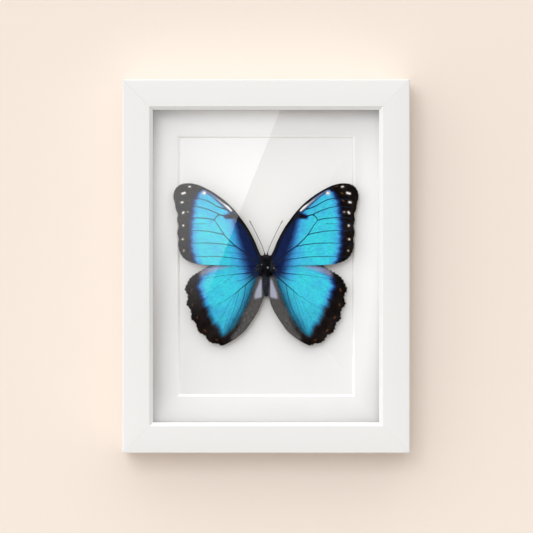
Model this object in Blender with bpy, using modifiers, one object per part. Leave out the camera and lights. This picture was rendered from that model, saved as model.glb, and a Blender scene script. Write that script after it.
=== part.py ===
"""A framed butterfly specimen: a white shadow-box frame with a window mat and a pinned blue butterfly.

The frame stands upright. +X is to the right as seen from the front, the front faces -Y and +Z is up.
The wall is the plane y = 0, and the origin is where the wall's nail carries the sawtooth hanger.
"""

import math

import bmesh
import bpy
from mathutils import Matrix, Vector

MM = 0.001

# Driving dimensions
FRAME_WIDTH = 160 * MM
FRAME_HEIGHT = 208 * MM
FRAME_DEPTH = 30 * MM
FACE_WIDTH = 15 * MM  # flat front face of each rail
LIP_WIDTH = 2 * MM  # bevel from the face down to the glass
LIP_THICKNESS = 3 * MM
GLASS_WIDTH = 130 * MM
GLASS_HEIGHT = 178 * MM
GLASS_THICKNESS = 2 * MM
SPACER_DEPTH = 10 * MM
SPACER_THICKNESS = 1.5 * MM
MAT_THICKNESS = 1.4 * MM
WINDOW_WIDTH = 98 * MM  # halfway through the mat's thickness
WINDOW_HEIGHT = 145 * MM
BACKING_THICKNESS = 4 * MM
PANEL_THICKNESS = 2.5 * MM
GAP = 0.3 * MM  # between pieces that touch
CENTRE_Z = -76 * MM  # the frame's centre lies this far below the nail

# Where each layer begins, from the front to the back
FRONT_Y = -FRAME_DEPTH
REBATE_Y = FRONT_Y + LIP_THICKNESS
GLASS_Y = REBATE_Y + GAP
SPACER_Y = GLASS_Y + GLASS_THICKNESS + GAP
MAT_Y = SPACER_Y + SPACER_DEPTH + GAP
BACKING_Y = MAT_Y + MAT_THICKNESS + GAP
PANEL_Y = BACKING_Y + BACKING_THICKNESS + GAP
PANEL_BACK_Y = PANEL_Y + PANEL_THICKNESS

# The butterfly, in the plane of its wings; x is from the body's axis, z from the frame's centre
FOREWING_Y = -18.0 * MM
HINDWING_Y = -17.3 * MM
WING_THICKNESS = 0.4 * MM
BODY_Y = -17.0 * MM
BODY_FLATTENING = 0.92  # depth of the body over its width
PIN_X = 1.0 * MM
PIN_Z = -0.8 * MM
PIN_RADIUS = 0.25 * MM
PIN_HEAD_RADIUS = 0.5 * MM
PIN_HEAD_Y = -20.6 * MM
PIN_DEPTH_IN_BACKING = 2.5 * MM
PIN_CLEARANCE = 0.3 * MM
ANTENNA_RADIUS = 0.2 * MM
CLUB_RADIUS = 0.42 * MM

# Hardware on the back
TAB_WIDTH = 12 * MM
TAB_THICKNESS = 0.5 * MM
TAB_REACH = 8 * MM  # over the back panel
TAB_TAIL = 4 * MM  # in the rail
HANGER_WIDTH = 40 * MM
HANGER_HEIGHT = 8 * MM
HANGER_THICKNESS = 0.8 * MM
HANGER_LIFT = 1.4 * MM  # the middle stands this far off the panel
HANGER_TEETH = 9
TOOTH_PITCH = 2.2 * MM
TOOTH_DEPTH = 1.5 * MM
RIVET_X = 16.5 * MM
RIVET_RADIUS = 1.0 * MM
RIVET_HEAD_RADIUS = 2.0 * MM
RIVET_DEPTH = 1.6 * MM  # into the panel

# Wing outlines in mm, for the right side: x out from the body's axis, z up from the frame's centre
FOREWING_OUTLINE = [
    (2.6, 3.0), (4.3, 9.0), (9.7, 20.4), (14.4, 27.2), (19.0, 32.8), (25.4, 38.4), (33.0, 43.2),
    (39.0, 45.7), (44.8, 46.3), (48.7, 45.2), (51.2, 42.3), (51.8, 38.6), (51.0, 35.0), (50.5, 31.9),
    (49.4, 29.0), (49.8, 25.9), (49.0, 22.4), (49.7, 18.6), (48.9, 15.2), (49.2, 11.8), (48.3, 8.0),
    (46.2, 4.6), (42.4, 2.2), (36.6, 0.9), (29.0, 0.5), (17.4, 0.3), (6.0, 0.3),
]
HINDWING_OUTLINE = [
    (2.7, -5.6), (6.6, 1.6), (18.0, 3.4), (29.4, 1.8), (34.0, -1.0), (38.6, -3.6), (42.4, -6.4),
    (44.4, -9.9), (45.6, -13.2), (44.2, -15.8), (44.0, -18.4), (44.7, -21.4), (42.6, -24.2),
    (42.0, -26.8), (42.1, -29.6), (39.6, -32.0), (38.8, -34.8), (37.4, -37.4), (34.4, -39.0),
    (32.8, -41.6), (30.5, -43.2), (27.8, -43.5), (25.0, -44.5), (22.4, -43.7), (19.8, -42.3),
    (16.8, -40.4), (14.0, -38.2), (11.8, -36.2), (9.4, -33.0), (6.2, -28.2), (3.4, -23.0),
    (2.1, -18.6), (2.5, -12.0),
]
# The body's outline in mm, from the palps' tips to the tail: z, radius
BODY_PROFILE = [
    (7.6, 0.0), (7.2, 0.7), (6.4, 1.3), (5.8, 2.05), (4.9, 2.1), (4.1, 1.5), (3.5, 1.65), (2.4, 2.25),
    (0.8, 2.5), (-1.2, 2.5), (-3.2, 2.2), (-4.8, 1.6), (-5.6, 1.6), (-7.4, 1.95), (-10.0, 1.85),
    (-13.0, 1.55), (-15.6, 1.25), (-17.0, 0.75), (-17.5, 0.0),
]
# The right antenna's route in mm: x, z
ANTENNA_ROUTE = [(1.5, 8.1), (2.6, 11.2), (4.2, 15.0), (6.4, 19.6), (8.2, 23.2), (9.4, 25.7)]
ANTENNA_Y = -17.6 * MM

COLOURS = {
    "frame_paint": ((0.86, 0.85, 0.84), 0.45, 0.0),
    "glass": ((0.95, 0.98, 0.97), 0.02, 0.0),
    "spacer_card": ((0.86, 0.86, 0.85), 0.8, 0.0),
    "mat_card": ((0.88, 0.87, 0.88), 0.85, 0.0),
    "backing_card": ((0.86, 0.86, 0.86), 0.85, 0.0),
    "hardboard": ((0.32, 0.2, 0.11), 0.75, 0.0),
    "tab_steel": ((0.55, 0.55, 0.54), 0.35, 1.0),
    "hanger_steel": ((0.6, 0.58, 0.52), 0.3, 1.0),
    "forewing_scales": ((0.05, 0.42, 0.72), 0.45, 0.0),
    "hindwing_scales": ((0.05, 0.55, 0.75), 0.45, 0.0),
    "body_fur": ((0.02, 0.018, 0.02), 0.8, 0.0),
    "antenna_brown": ((0.03, 0.02, 0.015), 0.6, 0.0),
    "pin_steel": ((0.7, 0.7, 0.68), 0.2, 1.0),
}


def clear_scene():
    for existing in list(bpy.data.objects):
        bpy.data.objects.remove(existing, do_unlink=True)


def make_collection(name):
    collection = bpy.data.collections.new(name)
    bpy.context.scene.collection.children.link(collection)
    return collection


def make_materials():
    materials = {}
    for name, (colour, roughness, metallic) in COLOURS.items():
        material = bpy.data.materials.new(name)
        material.use_nodes = True
        shader = material.node_tree.nodes["Principled BSDF"]
        shader.inputs["Base Color"].default_value = (*colour, 1.0)
        shader.inputs["Roughness"].default_value = roughness
        shader.inputs["Metallic"].default_value = metallic
        materials[name] = material
    materials["glass"].node_tree.nodes["Principled BSDF"].inputs["Transmission Weight"].default_value = 1.0
    return materials


def add_piece(name, mesh, collection, material=None):
    """Link a mesh as a named object, with its material where it has one."""
    piece = bpy.data.objects.new(name, mesh)
    if material is not None:
        mesh.materials.clear()
        mesh.materials.append(material)
    collection.objects.link(piece)
    return piece


def box_mesh(name, low, high):
    """A box between two corners, in world space."""
    size = Vector(high) - Vector(low)
    centre = (Vector(high) + Vector(low)) / 2
    shape = bmesh.new()
    bmesh.ops.create_cube(shape, size=1.0)
    bmesh.ops.scale(shape, vec=size, verts=shape.verts)
    bmesh.ops.translate(shape, vec=centre, verts=shape.verts)
    mesh = bpy.data.meshes.new(name)
    shape.to_mesh(mesh)
    shape.free()
    return mesh


def outline_mesh(name, outline, half_thickness, smooth, resolution=1):
    """A flat outline in the X-Z plane, thickened evenly both ways along Y."""
    curve = bpy.data.curves.new(name, "CURVE")
    curve.dimensions = "2D"
    curve.fill_mode = "BOTH"
    curve.extrude = half_thickness
    curve.resolution_u = resolution
    if smooth:
        spline = curve.splines.new("BEZIER")
        spline.bezier_points.add(len(outline) - 1)
        for point, (x, z) in zip(spline.bezier_points, outline):
            point.co = (x, z, 0)
            point.handle_left_type = "AUTO"
            point.handle_right_type = "AUTO"
    else:
        spline = curve.splines.new("POLY")
        spline.points.add(len(outline) - 1)
        for point, (x, z) in zip(spline.points, outline):
            point.co = (x, z, 0, 1)
    spline.use_cyclic_u = True
    return curve_to_mesh(curve, Matrix.Rotation(math.radians(90), 4, "X"))


def curve_to_mesh(curve, placement):
    """The evaluated curve as a closed mesh, its caps welded and its place applied."""
    name = curve.name
    guide = bpy.data.objects.new(name + "_guide", curve)
    bpy.context.scene.collection.objects.link(guide)
    bpy.context.view_layer.update()
    evaluated = guide.evaluated_get(bpy.context.evaluated_depsgraph_get())
    mesh = bpy.data.meshes.new_from_object(evaluated)
    mesh.transform(placement)
    shape = bmesh.new()
    shape.from_mesh(mesh)
    bmesh.ops.remove_doubles(shape, verts=shape.verts, dist=0.005 * MM)
    bmesh.ops.recalc_face_normals(shape, faces=shape.faces)
    shape.to_mesh(mesh)
    shape.free()
    bpy.data.objects.remove(guide, do_unlink=True)
    bpy.data.curves.remove(curve)
    mesh.name = name
    return mesh


def cut(piece, cutter):
    """Cut one hidden cutter out of a piece."""
    cutter.hide_render = True
    cutter.display_type = "WIRE"
    modifier = piece.modifiers.new("cut_" + cutter.name, "BOOLEAN")
    modifier.operation = "DIFFERENCE"
    modifier.solver = "EXACT"
    modifier.object = cutter


def rail_profile():
    """The moulding's section: inset from the frame's outer edge, and y."""
    rebate_inset = (FRAME_WIDTH - GLASS_WIDTH) / 2 - GAP
    return [
        (0.0, 0.0),
        (0.0, FRONT_Y + 0.8 * MM),
        (0.8 * MM, FRONT_Y),
        (FACE_WIDTH, FRONT_Y),
        (FACE_WIDTH + LIP_WIDTH, FRONT_Y + LIP_WIDTH),
        (FACE_WIDTH + LIP_WIDTH, REBATE_Y),
        (rebate_inset, REBATE_Y),
        (rebate_inset, 0.0),
    ]


def rail_mesh(name, half_length, half_across, quarter_turns):
    """One mitred rail: the moulding's section lofted between two 45 degree ends, then turned into place.

    It is made as the bottom rail of a frame, with its outer edge half_across below the centre.
    """
    mitre_gap = GAP / 2
    shape = bmesh.new()
    ends = []
    for side in (-1, 1):
        loop = []
        for inset, y in rail_profile():
            x = side * (half_length - inset - mitre_gap * math.sqrt(2))
            loop.append(shape.verts.new((x, y, inset - half_across)))
        ends.append(loop)
    count = len(ends[0])
    for index in range(count):
        following = (index + 1) % count
        shape.faces.new((ends[0][index], ends[0][following], ends[1][following], ends[1][index]))
    shape.faces.new(ends[0])
    shape.faces.new(list(reversed(ends[1])))
    bmesh.ops.recalc_face_normals(shape, faces=shape.faces)
    mesh = bpy.data.meshes.new(name)
    shape.to_mesh(mesh)
    shape.free()
    mesh.transform(Matrix.Rotation(quarter_turns * math.pi / 2, 4, "Y"))
    mesh.transform(Matrix.Translation((0, 0, CENTRE_Z)))
    return mesh


def tab_places():
    """Each tab's name, the rail it sits in, its inward direction and its foot on the rebate wall."""
    wall_x = GLASS_WIDTH / 2 + GAP
    wall_z = GLASS_HEIGHT / 2 + GAP
    side_z = GLASS_HEIGHT / 4
    return [
        ("flex_tab_top", "frame_rail_top", (0, -1), (0.0, wall_z)),
        ("flex_tab_bottom", "frame_rail_bottom", (0, 1), (0.0, -wall_z)),
        ("flex_tab_left_upper", "frame_stile_left", (1, 0), (-wall_x, side_z)),
        ("flex_tab_left_lower", "frame_stile_left", (1, 0), (-wall_x, -side_z)),
        ("flex_tab_right_upper", "frame_stile_right", (-1, 0), (wall_x, side_z)),
        ("flex_tab_right_lower", "frame_stile_right", (-1, 0), (wall_x, -side_z)),
    ]


def tab_corners(inward, foot, margin):
    """The low and high corners of a tab, or of its slot when grown by a margin."""
    tail = TAB_TAIL + margin
    reach = TAB_REACH if margin == 0 else TAB_TAIL
    half = TAB_WIDTH / 2 + margin
    along = Vector((inward[0], 0, inward[1]))
    across = Vector((abs(inward[1]), 0, abs(inward[0])))
    base = Vector((foot[0], 0, foot[1] + CENTRE_Z))
    corners = [base - along * tail - across * half, base + along * reach + across * half]
    low = Vector((min(c.x for c in corners), 0, min(c.z for c in corners)))
    high = Vector((max(c.x for c in corners), 0, max(c.z for c in corners)))
    low.y = PANEL_BACK_Y + GAP - margin
    high.y = PANEL_BACK_Y + GAP + TAB_THICKNESS + margin
    return low, high


def build_frame(parts, cutters, materials):
    """The four mitred rails, with a slot for each tab's tail."""
    half_width = FRAME_WIDTH / 2
    half_height = FRAME_HEIGHT / 2
    rails = {}
    for name, half_length, half_across, turns in (
        ("frame_rail_bottom", half_width, half_height, 0),
        ("frame_stile_left", half_height, half_width, 1),
        ("frame_rail_top", half_width, half_height, 2),
        ("frame_stile_right", half_height, half_width, 3),
    ):
        mesh = rail_mesh(name, half_length, half_across, turns)
        rails[name] = add_piece(name, mesh, parts, materials["frame_paint"])
    for name, rail, inward, foot in tab_places():
        low, high = tab_corners(inward, foot, GAP)
        cutter = add_piece("slot_" + name, box_mesh("slot_" + name, low, high), cutters)
        cut(rails[rail], cutter)


def build_tabs(parts, materials):
    for name, _rail, inward, foot in tab_places():
        low, high = tab_corners(inward, foot, 0)
        add_piece(name, box_mesh(name, low, high), parts, materials["tab_steel"])


def sheet_box(name, width, height, front_y, thickness, parts, material):
    """A rectangular sheet centred in the frame."""
    low = (-width / 2, front_y, CENTRE_Z - height / 2)
    high = (width / 2, front_y + thickness, CENTRE_Z + height / 2)
    return add_piece(name, box_mesh(name, low, high), parts, material)


def build_spacers(parts, materials):
    """Two long strips between two that run the full width."""
    back_y = SPACER_Y + SPACER_DEPTH
    half_width = GLASS_WIDTH / 2
    half_height = GLASS_HEIGHT / 2
    inner_z = half_height - SPACER_THICKNESS
    for side, name in ((-1, "spacer_bottom"), (1, "spacer_top")):
        z_values = sorted((side * half_height, side * inner_z))
        low = (-half_width, SPACER_Y, CENTRE_Z + z_values[0])
        high = (half_width, back_y, CENTRE_Z + z_values[1])
        add_piece(name, box_mesh(name, low, high), parts, materials["spacer_card"])
    for side, name in ((-1, "spacer_left"), (1, "spacer_right")):
        x_values = sorted((side * half_width, side * (half_width - SPACER_THICKNESS)))
        low = (x_values[0], SPACER_Y, CENTRE_Z - inner_z + GAP)
        high = (x_values[1], back_y, CENTRE_Z + inner_z - GAP)
        add_piece(name, box_mesh(name, low, high), parts, materials["spacer_card"])


def build_window_mat(parts, cutters, materials):
    """The mat with its window, cut at 45 degrees so that the opening widens towards the front."""
    mat = sheet_box(
        "window_mat", GLASS_WIDTH, GLASS_HEIGHT, MAT_Y, MAT_THICKNESS, parts, materials["mat_card"]
    )
    overrun = 1 * MM  # the cutter passes both faces of the board
    name = "window_cutter"
    mesh = box_mesh(
        name,
        (-WINDOW_WIDTH / 2, MAT_Y - overrun, -WINDOW_HEIGHT / 2),
        (WINDOW_WIDTH / 2, MAT_Y + MAT_THICKNESS + overrun, WINDOW_HEIGHT / 2),
    )
    middle_y = MAT_Y + MAT_THICKNESS / 2
    for vertex in mesh.vertices:
        spread = middle_y - vertex.co.y
        vertex.co.x += spread if vertex.co.x > 0 else -spread
        vertex.co.z += spread if vertex.co.z > 0 else -spread
    mesh.transform(Matrix.Translation((0, 0, CENTRE_Z)))
    cut(mat, add_piece(name, mesh, cutters))


def pin_rod(name, radius, front_y, back_y, collection, material=None):
    """A straight round rod along Y through the pin's place."""
    shape = bmesh.new()
    bmesh.ops.create_cone(
        shape, cap_ends=True, segments=12, radius1=radius, radius2=radius, depth=back_y - front_y
    )
    mesh = bpy.data.meshes.new(name)
    shape.to_mesh(mesh)
    shape.free()
    mesh.transform(Matrix.Rotation(math.radians(90), 4, "X"))
    mesh.transform(Matrix.Translation((PIN_X, (front_y + back_y) / 2, CENTRE_Z + PIN_Z)))
    return add_piece(name, mesh, collection, material)


def build_backing_board(parts, cutters, materials):
    """The board behind the window, with the blind hole that the pin stands in."""
    board = sheet_box(
        "backing_board",
        GLASS_WIDTH,
        GLASS_HEIGHT,
        BACKING_Y,
        BACKING_THICKNESS,
        parts,
        materials["backing_card"],
    )
    bottom_y = BACKING_Y + PIN_DEPTH_IN_BACKING + PIN_CLEARANCE
    hole = pin_rod("pin_hole_in_board", PIN_RADIUS + PIN_CLEARANCE, BACKING_Y - 2 * MM, bottom_y, cutters)
    cut(board, hole)


def build_back_panel(parts, cutters, materials):
    """The hardboard back, with a blind hole for each rivet."""
    panel = sheet_box(
        "back_panel", GLASS_WIDTH, GLASS_HEIGHT, PANEL_Y, PANEL_THICKNESS, parts, materials["hardboard"]
    )
    for side, label in ((-1, "left"), (1, "right")):
        hole = rivet_hole("rivet_hole_" + label, side * RIVET_X, cutters)
        cut(panel, hole)


def rivet_hole(name, x, cutters):
    depth = RIVET_DEPTH + GAP
    length = 2 * depth
    shape = bmesh.new()
    radius = RIVET_RADIUS + GAP
    bmesh.ops.create_cone(
        shape, cap_ends=True, segments=20, radius1=radius, radius2=radius, depth=length
    )
    mesh = bpy.data.meshes.new(name)
    shape.to_mesh(mesh)
    shape.free()
    mesh.transform(Matrix.Rotation(math.radians(90), 4, "X"))
    mesh.transform(Matrix.Translation((x, PANEL_BACK_Y, hanger_top() - HANGER_HEIGHT / 2)))
    return add_piece(name, mesh, cutters)


def hanger_top():
    """The nail bears on the roots of the teeth at z = 0."""
    return HANGER_HEIGHT - TOOTH_DEPTH


def hanger_outline():
    """The plate's outline: square ends and a toothed lower edge."""
    top = hanger_top()
    bottom = top - HANGER_HEIGHT
    half = HANGER_WIDTH / 2
    first_tooth = -HANGER_TEETH * TOOTH_PITCH / 2
    outline = [(-half, top), (-half, bottom)]
    for tooth in range(HANGER_TEETH):
        x = first_tooth + tooth * TOOTH_PITCH
        outline.append((x, bottom))
        outline.append((x + TOOTH_PITCH / 2, bottom + TOOTH_DEPTH))
    outline.append((-first_tooth, bottom))
    outline += [(half, bottom), (half, top)]
    return outline


def build_hanger(parts, cutters, materials):
    """A toothed strip whose middle is bent away from the panel, and its two rivets."""
    mesh = outline_mesh("hanger_plate", hanger_outline(), HANGER_THICKNESS / 2, smooth=False)
    bend_start = 13.0 * MM
    bend_end = 11.4 * MM
    shape = bmesh.new()
    shape.from_mesh(mesh)
    for x in (-bend_start, -bend_end, bend_end, bend_start):
        geometry = shape.verts[:] + shape.edges[:] + shape.faces[:]
        bmesh.ops.bisect_plane(shape, geom=geometry, plane_co=(x, 0, 0), plane_no=(1, 0, 0))
    for vertex in shape.verts:
        share = (bend_start - abs(vertex.co.x)) / (bend_start - bend_end)
        vertex.co.y += HANGER_LIFT * min(max(share, 0.0), 1.0)
    bmesh.ops.recalc_face_normals(shape, faces=shape.faces)
    shape.to_mesh(mesh)
    shape.free()
    plate_y = PANEL_BACK_Y + GAP + HANGER_THICKNESS / 2
    mesh.transform(Matrix.Translation((0, plate_y, 0)))
    plate = add_piece("hanger_plate", mesh, parts, materials["hanger_steel"])
    for side, label in ((-1, "left"), (1, "right")):
        hole = rivet_hole("plate_hole_" + label, side * RIVET_X, cutters)
        cut(plate, hole)
        build_rivet("hanger_rivet_" + label, side * RIVET_X, parts, materials["hanger_steel"])


def build_rivet(name, x, parts, material):
    """A dome-headed rivet: a profile turned about its own axis."""
    head_y = GAP + HANGER_THICKNESS + GAP
    head_height = 0.9 * MM
    profile = [
        (0.0, head_y + head_height),
        (1.1 * MM, head_y + 0.75 * head_height),
        (1.7 * MM, head_y + 0.4 * head_height),
        (RIVET_HEAD_RADIUS, head_y),
        (RIVET_RADIUS, head_y),
        (RIVET_RADIUS, -RIVET_DEPTH),
        (0.0, -RIVET_DEPTH),
    ]
    mesh = turned_mesh(name, profile, steps=16)
    mesh.transform(Matrix.Rotation(math.radians(-90), 4, "X"))
    place = (x, PANEL_BACK_Y, hanger_top() - HANGER_HEIGHT / 2)
    mesh.transform(Matrix.Translation(place))
    add_piece(name, mesh, parts, material)


def turned_mesh(name, profile, steps):
    """Turn a profile of radius and height about Z, from the top down its outer side."""
    mesh = bpy.data.meshes.new(name)
    points = [(radius, 0, height) for radius, height in profile]
    mesh.from_pydata(points, [(i, i + 1) for i in range(len(points) - 1)], [])
    turner = bpy.data.objects.new(name + "_turner", mesh)
    bpy.context.scene.collection.objects.link(turner)
    screw = turner.modifiers.new("turn", "SCREW")
    screw.steps = steps
    screw.render_steps = steps
    screw.use_merge_vertices = True
    screw.merge_threshold = 0.005 * MM
    bpy.context.view_layer.update()
    evaluated = turner.evaluated_get(bpy.context.evaluated_depsgraph_get())
    turned = bpy.data.meshes.new_from_object(evaluated)
    bpy.data.objects.remove(turner, do_unlink=True)
    bpy.data.meshes.remove(mesh)
    turned.name = name
    return turned


def build_wings(parts, materials):
    """Four thin plates. The forewings lie in front of the hindwings."""
    wings = (
        ("forewing", FOREWING_OUTLINE, FOREWING_Y, "forewing_scales"),
        ("hindwing", HINDWING_OUTLINE, HINDWING_Y, "hindwing_scales"),
    )
    for wing, outline, wing_y, slot in wings:
        for side, label in ((-1, "left"), (1, "right")):
            points = [(side * x * MM, z * MM) for x, z in outline]
            name = f"{wing}_{label}"
            mesh = outline_mesh(name, points, WING_THICKNESS / 2, smooth=True, resolution=3)
            mesh.transform(Matrix.Translation((0, wing_y, CENTRE_Z)))
            add_piece(name, mesh, parts, materials[slot])


def build_body(parts, cutters, materials):
    """Head, thorax and abdomen as one turned form, a little flattened, with the pin's hole."""
    profile = [(radius * MM, z * MM) for z, radius in BODY_PROFILE]
    mesh = turned_mesh("butterfly_body", profile, steps=20)
    mesh.transform(Matrix.Scale(BODY_FLATTENING, 4, (0, 1, 0)))
    mesh.transform(Matrix.Translation((0, BODY_Y, CENTRE_Z)))
    mesh.shade_smooth()
    body = add_piece("butterfly_body", mesh, parts, materials["body_fur"])
    half_depth = 4 * MM
    hole = pin_rod(
        "pin_hole_in_body", PIN_RADIUS + PIN_CLEARANCE, BODY_Y - half_depth, BODY_Y + half_depth, cutters
    )
    cut(body, hole)


def build_antennae(parts, materials):
    """Two thin curved rods that thicken into a club."""
    for side, label in ((-1, "left"), (1, "right")):
        name = "antenna_" + label
        curve = bpy.data.curves.new(name, "CURVE")
        curve.dimensions = "3D"
        curve.bevel_depth = ANTENNA_RADIUS
        curve.bevel_resolution = 2
        curve.resolution_u = 3
        curve.use_fill_caps = True
        spline = curve.splines.new("BEZIER")
        spline.bezier_points.add(len(ANTENNA_ROUTE) - 1)
        last = len(ANTENNA_ROUTE) - 1
        for index, (x, z) in enumerate(ANTENNA_ROUTE):
            point = spline.bezier_points[index]
            point.co = (side * x * MM, ANTENNA_Y, z * MM + CENTRE_Z)
            point.handle_left_type = "AUTO"
            point.handle_right_type = "AUTO"
            point.radius = CLUB_RADIUS / ANTENNA_RADIUS if index == last else 1.0
        mesh = curve_to_mesh(curve, Matrix.Identity(4))
        mesh.shade_smooth()
        add_piece(name, mesh, parts, materials["antenna_brown"])


def build_pin(parts, materials):
    """A steel pin: a round head, a thin shaft and a point, turned as one profile."""
    tip_y = BACKING_Y + PIN_DEPTH_IN_BACKING
    length = tip_y - PIN_HEAD_Y
    arc_steps = 6
    neck = math.asin(PIN_RADIUS / PIN_HEAD_RADIUS)
    profile = []
    for step in range(arc_steps + 1):
        angle = step * (math.pi - neck) / arc_steps
        profile.append((PIN_HEAD_RADIUS * math.sin(angle), PIN_HEAD_RADIUS * math.cos(angle)))
    profile.append((PIN_RADIUS, -length + 1.5 * MM))
    profile.append((0.0, -length))
    mesh = turned_mesh("insect_pin", profile, steps=12)
    mesh.transform(Matrix.Rotation(math.radians(90), 4, "X"))
    mesh.transform(Matrix.Translation((PIN_X, PIN_HEAD_Y, CENTRE_Z + PIN_Z)))
    mesh.shade_smooth()
    add_piece("insect_pin", mesh, parts, materials["pin_steel"])


def main():
    clear_scene()
    parts = make_collection("framed_butterfly")
    cutters = make_collection("cutters")
    materials = make_materials()
    build_frame(parts, cutters, materials)
    build_tabs(parts, materials)
    sheet_box("glass_pane", GLASS_WIDTH, GLASS_HEIGHT, GLASS_Y, GLASS_THICKNESS, parts, materials["glass"])
    build_spacers(parts, materials)
    build_window_mat(parts, cutters, materials)
    build_backing_board(parts, cutters, materials)
    build_back_panel(parts, cutters, materials)
    build_hanger(parts, cutters, materials)
    build_wings(parts, materials)
    build_body(parts, cutters, materials)
    build_antennae(parts, materials)
    build_pin(parts, materials)


main()
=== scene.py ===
"""Looks for a framed butterfly specimen: a blue butterfly pinned behind glass in a white shadow-box frame.

The front of the frame faces -Y, +X is to the right as seen from the front and +Z is up.
"""

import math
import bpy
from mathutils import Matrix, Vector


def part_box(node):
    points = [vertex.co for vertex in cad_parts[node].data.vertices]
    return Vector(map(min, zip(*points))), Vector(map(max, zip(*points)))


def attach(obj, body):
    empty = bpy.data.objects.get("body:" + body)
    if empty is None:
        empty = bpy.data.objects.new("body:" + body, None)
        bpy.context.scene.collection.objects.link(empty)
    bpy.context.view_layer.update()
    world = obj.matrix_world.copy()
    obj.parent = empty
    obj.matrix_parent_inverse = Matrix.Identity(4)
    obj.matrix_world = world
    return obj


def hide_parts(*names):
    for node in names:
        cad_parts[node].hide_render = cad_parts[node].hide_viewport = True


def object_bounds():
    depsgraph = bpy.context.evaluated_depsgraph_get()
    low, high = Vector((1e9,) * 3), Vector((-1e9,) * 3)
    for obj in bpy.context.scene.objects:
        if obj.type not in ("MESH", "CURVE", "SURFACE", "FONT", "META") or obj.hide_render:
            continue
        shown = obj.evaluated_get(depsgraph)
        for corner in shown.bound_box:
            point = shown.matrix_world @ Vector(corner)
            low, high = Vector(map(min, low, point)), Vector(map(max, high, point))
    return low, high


bl_info = {
    "name": "Framed Butterfly Specimen",
    "version": (1, 0, 0),
    "blender": (4, 5, 0),
    "location": "3D View > Sidebar > Specimen",
    "description": "Dresses a framed butterfly specimen: wings, fur, glass, mat, moulding and hardware",
    "category": "Object",
}

import bmesh
import bpy
import numpy as np
from bpy.props import FloatProperty, FloatVectorProperty, IntProperty, PointerProperty
from mathutils import Matrix, Vector, geometry

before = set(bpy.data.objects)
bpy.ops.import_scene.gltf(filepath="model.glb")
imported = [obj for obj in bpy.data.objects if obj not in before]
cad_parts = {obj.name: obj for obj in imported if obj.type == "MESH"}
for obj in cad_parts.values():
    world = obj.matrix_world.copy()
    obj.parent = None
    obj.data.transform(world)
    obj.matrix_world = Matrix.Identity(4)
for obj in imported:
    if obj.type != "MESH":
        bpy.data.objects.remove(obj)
CAD_LOW, CAD_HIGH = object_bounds()

MM = 0.001
BODY = "root"
SIDES = (("left", -1), ("right", 1))
RAILS = ("frame_rail_bottom", "frame_stile_left", "frame_rail_top", "frame_stile_right")
GLASS_LOW, GLASS_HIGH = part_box("glass_pane")
MAT_BACK_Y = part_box("window_mat")[1].y
CENTRE_Z = (GLASS_LOW.z + GLASS_HIGH.z) / 2
WELD = 0.002 * MM  # points of a CAD node that lie nearer than this are one point


# ---------------------------------------------------------------- settings


def colour_property(name, description, default):
    """A linear colour."""
    return FloatVectorProperty(
        name=name, description=description, subtype="COLOR", size=3, min=0.0, max=1.0, default=default
    )


def length_property(name, description, default):
    """A length in metres."""
    return FloatProperty(name=name, description=description, unit="LENGTH", min=0.0, default=default)


def number_property(name, description, default):
    """A plain number from 0 up."""
    return FloatProperty(name=name, description=description, min=0.0, default=default)


class FrameSettings(bpy.types.PropertyGroup):
    """Paint and card of the frame, and the rounding of its edges"""

    paint: colour_property("Paint", "Satin paint of the moulding", (0.855, 0.857, 0.858))
    card: colour_property("Mat card", "Face of the window mat", (0.89, 0.88, 0.885))
    core: colour_property("Card core", "Cut edge of the window mat", (0.985, 0.985, 0.98))
    board: colour_property("Backing board", "Paper of the board behind the window", (0.9, 0.9, 0.9))
    outer_radius: length_property("Outer radius", "Rounding of the moulding's outer front edge", 0.7 * MM)
    inner_radius: length_property("Inner radius", "Rounding of the moulding's inner edges", 0.35 * MM)
    mitre_gap: length_property("Mitre gap", "Width of the joint between two rails", 0.028 * MM)
    card_edge: length_property("Card edge", "Rounding of cut card edges", 0.06 * MM)


class WingSettings(bpy.types.PropertyGroup):
    """Colours and detail of the wings"""

    cyan: colour_property("Cyan", "Brightest part of the wings", (0.05, 0.67, 0.8))
    azure: colour_property("Azure", "Blue around the bright part", (0.055, 0.4, 0.77))
    royal: colour_property("Royal blue", "Rim of the blue part", (0.024, 0.105, 0.33))
    navy: colour_property("Navy", "Dark blue at the wing roots", (0.007, 0.018, 0.09))
    teal: colour_property("Teal", "Dull blue beside the hindwing's fold", (0.025, 0.24, 0.4))
    border: colour_property("Border", "Black-brown outer border", (0.0065, 0.0042, 0.0036))
    spots: colour_property("Spots", "White spots in the border", (0.9, 0.87, 0.84))
    lilac: colour_property("Lilac", "Pale strip and patches", (0.44, 0.46, 0.58))
    ochre: colour_property("Ochre", "Orange marks in the borders", (0.2, 0.075, 0.025))
    vein_ink: colour_property("Vein ink", "Dark blue along the veins", (0.006, 0.016, 0.04))
    underside: colour_property("Underside", "Brown of the wings' undersides", (0.16, 0.105, 0.06))
    thickness: length_property("Thickness", "Thickness of the wing membrane", 0.12 * MM)
    grid: length_property("Mesh grid", "Distance between the wing mesh's points", 0.38 * MM)
    vein_relief: length_property("Vein relief", "Height of the ridge along a vein", 0.08 * MM)
    fringe_length: length_property("Fringe", "Length of the scales along the margin", 0.45 * MM)
    fringe_spacing: length_property("Fringe spacing", "Distance between fringe scales", 0.16 * MM)
    fringe_seed: IntProperty(name="Fringe seed", description="Seed for the fringes", default=11)


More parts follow.
